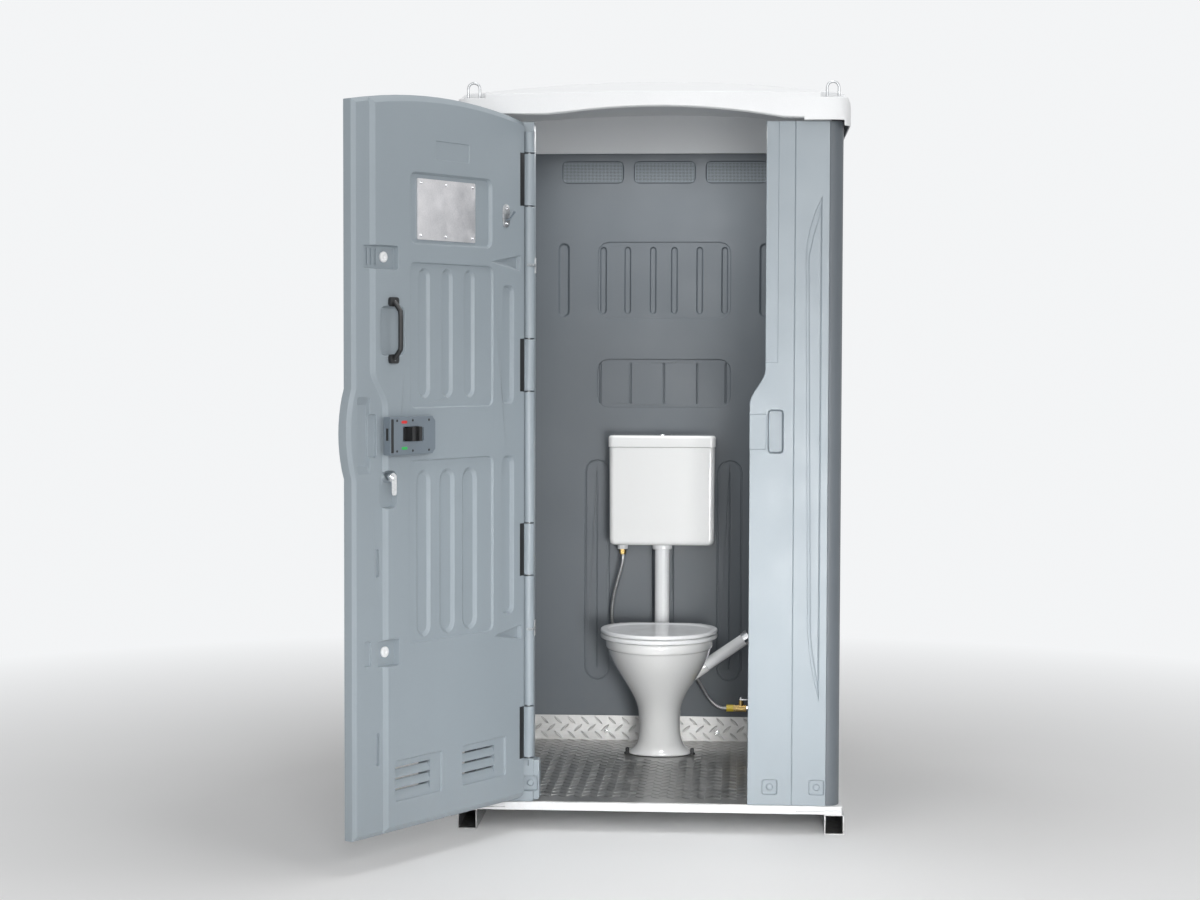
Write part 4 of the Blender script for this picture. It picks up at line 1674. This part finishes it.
def cistern_body(parent, paint):
    back = CABIN_INSIDE_DEPTH - GAP
    front = back - CISTERN_DEPTH + CISTERN_FRONT_BULGE
    foot, top = CISTERN_FOOT, CISTERN_BODY_TOP
    low_half, high_half = CISTERN_FOOT_WIDTH / 2, CISTERN_WIDTH / 2 - CISTERN_LID_OVERHANG
    edge = CISTERN_CORNER
    made = loft("cistern_body", [
        cistern_ring(low_half - edge / 2, front + edge / 2, back, foot, CISTERN_FRONT_BULGE),
        cistern_ring(low_half - edge / 8, front + edge / 8, back, foot + edge / 3, CISTERN_FRONT_BULGE),
        cistern_ring(low_half, front, back, foot + edge, CISTERN_FRONT_BULGE),
        cistern_ring(high_half, front, back, top, CISTERN_FRONT_BULGE)])
    wall = CISTERN_WALL
    inside = loft("inside", [
        cistern_ring(low_half - wall, front + wall, back - wall, foot + wall * 1.5, CISTERN_FRONT_BULGE),
        cistern_ring(high_half - wall, front + wall, back - wall, top + CUT, CISTERN_FRONT_BULGE)])
    cut(made, inside)
    cut(made, rod("outlet", (0, FLUSH_Y, foot - CUT), (0, FLUSH_Y, foot + CUT * 2),
                  FLUSH_PIPE_DIAMETER / 2, 20))
    cut(made, rod("inlet", (INLET_X, INLET_Y, foot - CUT), (INLET_X, INLET_Y, foot + CUT * 2),
                  INLET_TAIL_RADIUS + GAP, 14))
    return finish(made, parent, paint, (0, back, foot))


def cistern_lid(parent, paint):
    back = CABIN_INSIDE_DEPTH - GAP
    front = back - CISTERN_DEPTH + CISTERN_FRONT_BULGE - CISTERN_LID_OVERHANG
    foot = CISTERN_BODY_TOP + GAP
    top = foot + CISTERN_LID_HEIGHT
    half = CISTERN_WIDTH / 2
    edge = CISTERN_CORNER / 3
    made = loft("cistern_lid", [
        cistern_ring(half, front, back, foot, CISTERN_FRONT_BULGE),
        cistern_ring(half, front, back, top - edge, CISTERN_FRONT_BULGE),
        cistern_ring(half - edge, front + edge, back - edge / 2, top, CISTERN_FRONT_BULGE)])
    wall = CISTERN_WALL
    cut(made, loft("inside", [
        cistern_ring(half - wall * 1.8, front + wall * 1.8, back - wall * 1.8, foot - CUT, CISTERN_FRONT_BULGE),
        cistern_ring(half - wall * 1.8, front + wall * 1.8, back - wall * 1.8, top - wall, CISTERN_FRONT_BULGE)]))
    cut(made, rod("button_hole", (0, FLUSH_Y, foot), (0, FLUSH_Y, top + CUT),
                  BUTTON_RADIUS + FINE_GROOVE / 4, 24))
    return finish(made, parent, paint, (0, back, foot))


def flush_button(parent, paint):
    """The round push button in the cistern's lid, with the stem that reaches the flush valve."""
    top = CISTERN_BODY_TOP + GAP + CISTERN_LID_HEIGHT
    radius = BUTTON_RADIUS
    stem_foot = CISTERN_BODY_TOP - VALVE_LIFT * 0.2
    made = turned("flush_button", [(0, stem_foot), (ROD_RADIUS, stem_foot), (ROD_RADIUS, top - CISTERN_WALL),
                                   (radius, top - CISTERN_WALL * 0.8), (radius, top + FINE_GROOVE),
                                   (radius * 0.8, top + FINE_GROOVE * 1.6), (0, top + FINE_GROOVE * 1.8)],
                  (0, FLUSH_Y, 0), 24)
    return finish(made, parent, paint, (0, FLUSH_Y, top))


def flush_valve(parent, body_paint, seal_paint):
    """The flush valve: a slotted tower over the outlet, and inside it the sleeve with its seal that lifts."""
    floor = CISTERN_FOOT + CISTERN_WALL * 1.5 + GAP
    radius = FLUSH_PIPE_DIAMETER / 2 + VALVE_MARGIN
    height = CISTERN_BODY_TOP - VALVE_LIFT * 0.2 - BUTTON_TRAVEL * 1.5 - floor
    wall = VALVE_WALL
    bore = FLUSH_PIPE_BORE / 2
    neck = radius * 0.5
    profile = [(bore, floor), (radius, floor), (radius, floor + height * 0.72), (neck, floor + height * 0.78),
               (neck, floor + height), (neck - wall, floor + height), (neck - wall, floor + height * 0.75),
               (radius - wall, floor + height * 0.69), (radius - wall, floor + wall * 2),
               (bore, floor + wall * 2)]
    made = turned("flush_valve_tower", profile, (0, FLUSH_Y, 0), 20)
    slots = []
    for turn in (0, 1):
        reach = (radius * 1.2, radius * 0.4)
        low, high = (reach if turn == 0 else reach[::-1])
        slots.append(box("slot", (-low, FLUSH_Y - high, floor + wall * 2 + height * 0.04),
                         (low, FLUSH_Y + high, floor + height * 0.22)))
    for slot in slots:
        cut(made, slot)
    finish(made, parent, body_paint, (0, FLUSH_Y, floor))
    seat_level = floor + wall * 2 + GAP
    seal_radius = radius - wall - KNUCKLE_CLEARANCE / 2
    stem = seal_radius * 0.45
    profile = [(0, seat_level), (seal_radius, seat_level), (seal_radius, seat_level + wall),
               (stem, seat_level + wall * 2), (stem, seat_level + height * 0.5), (0, seat_level + height * 0.5)]
    made = turned("flush_valve_sleeve", profile, (0, FLUSH_Y, 0), 20)
    finish(made, parent, seal_paint, (0, FLUSH_Y, seat_level))


def fill_valve(parent, body_paint, float_paint):
    """The fill valve: an upright column with its head, and the cup float that slides on it."""
    foot = CISTERN_FOOT
    floor = foot + CISTERN_WALL * 1.5
    top = foot + (CISTERN_BODY_TOP - foot) * FILL_TOP_SHARE
    head = (top - floor) * 0.16
    column = FILL_COLUMN_RADIUS
    profile = [(0, foot - NUT_HEIGHT), (INLET_TAIL_RADIUS, foot - NUT_HEIGHT), (INLET_TAIL_RADIUS, floor + GAP),
               (column * 1.5, floor + GAP), (column * 1.5, floor + CISTERN_WALL), (column, floor + CISTERN_WALL),
               (column, top - head), (column * 1.8, top - head), (column * 1.8, top), (0, top)]
    made = turned("fill_valve", profile, (INLET_X, INLET_Y, 0), 14)
    finish(made, parent, body_paint, (INLET_X, INLET_Y, floor))
    low = top - head - FLOAT_HEIGHT - FLOAT_TRAVEL - CISTERN_WALL / 2
    ring = FILL_COLUMN_RADIUS + KNUCKLE_CLEARANCE / 4
    made = turned("fill_float", [(ring, low), (FLOAT_RADIUS, low), (FLOAT_RADIUS, low + FLOAT_HEIGHT),
                                 (ring, low + FLOAT_HEIGHT)], (INLET_X, INLET_Y, 0), 18)
    finish(made, parent, float_paint, (INLET_X, INLET_Y, low))


def inlet_nuts(parent, plastic, brass):
    """The white back nut under the cistern and the brass nut that holds the hose to the tail."""
    foot = CISTERN_FOOT - GAP
    tail_end = CISTERN_FOOT - NUT_HEIGHT
    made = turned("inlet_back_nut", [(INLET_TAIL_RADIUS + GAP * 3, foot - NUT_HEIGHT * 0.55),
                                     (INLET_NUT_RADIUS, foot - NUT_HEIGHT * 0.55), (INLET_NUT_RADIUS, foot),
                                     (INLET_TAIL_RADIUS + GAP * 3, foot)],
                  (INLET_X, INLET_Y, 0), 12)
    finish(made, parent, plastic, (INLET_X, INLET_Y, foot))
    radius = INLET_TAIL_RADIUS * 1.7
    bore = INLET_TAIL_RADIUS * 1.22
    top = foot - NUT_HEIGHT * 0.55 - GAP
    low = tail_end - GAP - NUT_HEIGHT * 0.12
    profile = [(0, low), (radius * 0.9, low), (radius, tail_end), (radius, top), (bore, top),
               (bore, tail_end - GAP), (0, tail_end - GAP)]
    made = turned("hose_nut_upper", profile, (INLET_X, INLET_Y, 0), 6)
    finish(made, parent, brass, (INLET_X, INLET_Y, top), smooth=False)


def smooth_route(points, steps=3):
    """Points on a smooth curve through a route's own points."""
    points = [Vector(point) for point in points]
    made = []
    for i in range(len(points) - 1):
        before, start, end, after = (points[max(i - 1, 0)], points[i], points[i + 1],
                                     points[min(i + 2, len(points) - 1)])
        for j in range(steps):
            t = j / steps
            made.append(0.5 * (2 * start + (end - before) * t
                               + (2 * before - 5 * start + 4 * end - after) * t ** 2
                               + (3 * start - before - 3 * end + after) * t ** 3))
    return made + [points[-1]]


def inlet_hose(parent, paint):
    route = smooth_route(HOSE_ROUTE)
    curve = bpy.data.curves.new("inlet_hose", "CURVE")
    curve.dimensions = "3D"
    curve.bevel_depth = HOSE_DIAMETER / 2
    curve.bevel_resolution = 2
    curve.use_fill_caps = True
    spline = curve.splines.new("POLY")
    spline.points.add(len(route) - 1)
    for point, place in zip(spline.points, route):
        point.co = (*place, 1)
    made = bpy.data.objects.new("inlet_hose", curve)
    bpy.context.collection.objects.link(made)
    made.parent = parent
    curve.materials.append(paint)
    return made


def stop_valve(parent, yellow, brass, chrome):
    """The stop valve at the hose's foot: ring nut, brass body with a stem, a lever, and its supply pipe."""
    start = Vector(HOSE_ROUTE[-1]) + Vector((GAP, 0, 0))
    y, z = start.y, start.z
    nut_length = HOSE_NUT_DIAMETER
    made = rod("hose_ring_nut", start, start + Vector((nut_length, 0, 0)), HOSE_NUT_DIAMETER / 2, 12)
    finish(made, parent, yellow, tuple(start))
    x = start.x + nut_length + GAP
    body_end = x + VALVE_BODY_LENGTH
    made = rod("stop_valve", (x, y, z), (body_end, y, z), VALVE_RADIUS, 14)
    stem_x = x + VALVE_BODY_LENGTH * 0.6
    stem_top = z + VALVE_RADIUS * 2.4
    join(made, rod("bonnet", (stem_x, y, z), (stem_x, y, stem_top), VALVE_RADIUS * 0.7, 12))
    finish(made, parent, brass, (x, y, z))
    foot = stem_top + GAP
    outline = rounded(stem_x - VALVE_RADIUS * 0.7, stem_x + LEVER_LENGTH,
                      y - VALVE_RADIUS * 0.6, y + VALVE_RADIUS * 0.6, VALVE_RADIUS * 0.5)
    lever = prism("stop_valve_lever", outline, foot, foot + LEVER_THICKNESS, "Z")
    join(lever, rod("hub", (stem_x, y, foot), (stem_x, y, foot + LEVER_THICKNESS * 2.5),
                    VALVE_RADIUS * 0.6, 12))
    finish(lever, parent, chrome, (stem_x, y, foot))
    pipe_start = body_end + GAP
    made = rod("supply_pipe", (pipe_start, y, z), (WALL_IN - GAP * 2, y, z), SUPPLY_DIAMETER / 2, 12)
    flange = WALL_IN - GAP * 2
    join(made, rod("flange", (flange - CAP_HEIGHT, y, z), (flange, y, z), SUPPLY_DIAMETER * 1.2, 16))
    finish(made, parent, chrome, (pipe_start, y, z))


def flush_pipe(parent, paint, rubber):
    """The flush pipe from the cistern down and forward into the pan, with its nut and rubber cone."""
    back = PAN_FRONT + PAN_LENGTH
    inlet_z = INLET_HEIGHT_SHARE * PAN_RIM_HEIGHT
    top = CISTERN_FOOT + CISTERN_WALL
    bend = FLUSH_BEND_RADIUS
    points = [(0, FLUSH_Y, top), (0, FLUSH_Y, (top + inlet_z) / 2)]
    steps = 6
    for i in range(steps + 1):
        angle = math.radians(90 * i / steps)
        points.append((0, FLUSH_Y - bend + bend * math.cos(angle), inlet_z + bend - bend * math.sin(angle)))
    pipe_end = back + PAN_WALL + GAP
    points.append((0, pipe_end, inlet_z))
    made = pipe("flush_pipe", points, FLUSH_PIPE_DIAMETER / 2 - FINE_GROOVE * 0.4, 16, FLUSH_PIPE_BORE / 2)
    finish(made, parent, paint, (0, FLUSH_Y, top))
    nut_top = CISTERN_FOOT - GAP
    nut = turned("flush_pipe_nut", [(FLUSH_PIPE_DIAMETER / 2, nut_top - FLUSH_NUT_HEIGHT),
                                    (FLUSH_NUT_DIAMETER / 2 * 0.93, nut_top - FLUSH_NUT_HEIGHT),
                                    (FLUSH_NUT_DIAMETER / 2, nut_top - FLUSH_NUT_HEIGHT * 0.8),
                                    (FLUSH_NUT_DIAMETER / 2, nut_top), (FLUSH_PIPE_DIAMETER / 2, nut_top)],
                 (0, FLUSH_Y, 0), 20)
    finish(nut, parent, paint, (0, FLUSH_Y, nut_top))
    inner = FLUSH_PIPE_DIAMETER / 2
    boss = FLUSH_PIPE_DIAMETER / 2 + PAN_WALL / 2
    start = back + PAN_WALL - PAN_WALL * 0.5
    cone = turned("flush_cone", [(boss + GAP, start), (boss + CAP_HEIGHT, start),
                                 (boss + CAP_HEIGHT, pipe_end), (inner + FINE_GROOVE, pipe_end + PAN_WALL),
                                 (inner, pipe_end + PAN_WALL), (inner, pipe_end), (boss + GAP, pipe_end)],
                  (0, 0, inlet_z), 20, "Y")
    finish(cone, parent, rubber, (0, start, inlet_z))


def waste(parent, white, chrome):
    """The waste pipe from the pan's side, its ring coupling, and the chrome tube that runs on to the wall."""
    start = waste_line(WASTE_DIAMETER * 0.12 + GAP)
    end = waste_line(WASTE_LENGTH)
    made = rod("waste_pipe", start, end, WASTE_DIAMETER / 2, 20, WASTE_DIAMETER / 2 - WASTE_WALL)
    finish(made, parent, white, tuple(start))
    ring_start = waste_line(WASTE_LENGTH + GAP)
    ring_end = waste_line(WASTE_LENGTH + WASTE_RING_LENGTH)
    made = rod("waste_coupling", ring_start, ring_end, WASTE_RING / 2, 20)
    finish(made, parent, white, tuple(ring_start))
    tube_start = waste_line(WASTE_LENGTH + WASTE_RING_LENGTH + GAP)
    reach = (WALL_IN - CHROME_TUBE - tube_start.x) / math.cos(WASTE_SLOPE)
    turn = waste_line(WASTE_LENGTH + WASTE_RING_LENGTH + reach)
    wall_end = WALL_IN - 2 * GAP
    points = [tube_start, waste_line(WASTE_LENGTH + WASTE_RING_LENGTH + reach * 0.8), turn,
              (wall_end - CAP_HEIGHT, turn.y, turn.z), (wall_end, turn.y, turn.z)]
    made = pipe("waste_tube", points, CHROME_TUBE / 2, 12)
    join(made, rod("flange", (wall_end - CAP_HEIGHT, turn.y, turn.z), (wall_end, turn.y, turn.z),
                   CHROME_TUBE, 16))
    finish(made, parent, chrome, tuple(tube_start))


def set_down(root):
    """Moves the whole model so that its origin is under the middle of everything but the hose."""
    bpy.context.view_layer.update()
    solids = [item for item in bpy.data.objects if item.type == "MESH"]
    corners = [item.matrix_world @ vertex.co for item in solids for vertex in item.data.vertices]
    low = [min(corner[i] for corner in corners) for i in range(3)]
    high = [max(corner[i] for corner in corners) for i in range(3)]
    root.location = (-(low[0] + high[0]) / 2, -(low[1] + high[1]) / 2, -low[2])
    print("moved by", [round(value, 6) for value in root.location])
    print("size", [round(b - a, 5) for a, b in zip(low, high)])


def main():
    clear_scene()
    cabin = empty("cabin")
    door_pivot = empty("door_pivot", (HINGE_X, HINGE_Y, 0), -DOOR_OPEN_ANGLE, cabin)
    front_paint = material("moulded_blue_grey", BLUE_GREY)
    wall_paint = material("moulded_dark_grey", DARK_GREY)
    white = material("moulded_white", WHITE)
    galvanised = material("galvanised_steel", STEEL, 0.4, 0.9)
    tread = material("tread_plate", STEEL, 0.3, 1.0)
    chrome = material("chrome", STEEL, 0.1, 1.0)
    black = material("black_plastic", BLACK)
    ceramic = material("glazed_ceramic", CERAMIC, 0.08)
    brass = material("brass", BRASS, 0.25, 1.0)
    yellow = material("yellow_plastic", YELLOW)
    rubber = material("rubber", RUBBER, 0.7)
    mirror_paint = material("mirror", STEEL, 0.03, 1.0)

    skid("skid_left", -1, cabin, galvanised)
    skid("skid_right", 1, cabin, galvanised)
    base_frame(cabin, white)
    floor_plate(cabin, tread)
    kick_plates(cabin, tread)
    wall_back(cabin, wall_paint)
    vent_meshes(cabin, wall_paint)
    wall_side("wall_left", -1, cabin, wall_paint)
    wall_side("wall_right", 1, cabin, wall_paint)
    post_left(cabin, front_paint)
    post_right(cabin, front_paint)
    hinge_rod(cabin, galvanised)
    for name, share in zip(("check_chain_lower", "check_chain_upper"), CHAIN_HEIGHT_SHARES):
        check_chain(name, share * WALL_HEIGHT, cabin, galvanised)
    roof(cabin, white)
    eye_x, eye_front, eye_back = eye_places()
    for name, x, y in (("lifting_eye_front_left", -eye_x, eye_front),
                       ("lifting_eye_front_right", eye_x, eye_front),
                       ("lifting_eye_back_left", -eye_x, eye_back),
                       ("lifting_eye_back_right", eye_x, eye_back)):
        lifting_eye(name, x, y, cabin, galvanised)

    toilet_pan(cabin, ceramic)
    pan_fixings(cabin, black)
    soil_connector(cabin, rubber)
    seat_hinge(cabin, chrome)
    seat(cabin, white)
    lid(cabin, white)
    cistern_body(cabin, ceramic)
    cistern_lid(cabin, ceramic)
    flush_button(cabin, chrome)
    flush_valve(cabin, white, rubber)
    fill_valve(cabin, white, white)
    inlet_nuts(cabin, white, brass)
    inlet_hose(cabin, galvanised)
    stop_valve(cabin, yellow, brass, chrome)
    flush_pipe(cabin, white, rubber)
    waste(cabin, white, chrome)

    door_shell(door_pivot, front_paint)
    mirror(door_pivot, mirror_paint)
    coat_hook(door_pivot, galvanised)
    grab_handle(door_pivot, black)
    lock_case(door_pivot, black)
    lock_bolt(door_pivot, black)
    outer_lock_case(door_pivot, black)
    lock_indicator(door_pivot, yellow)
    cam_bush(door_pivot, chrome)
    cam_latch(door_pivot, chrome)
    set_down(cabin)


main()
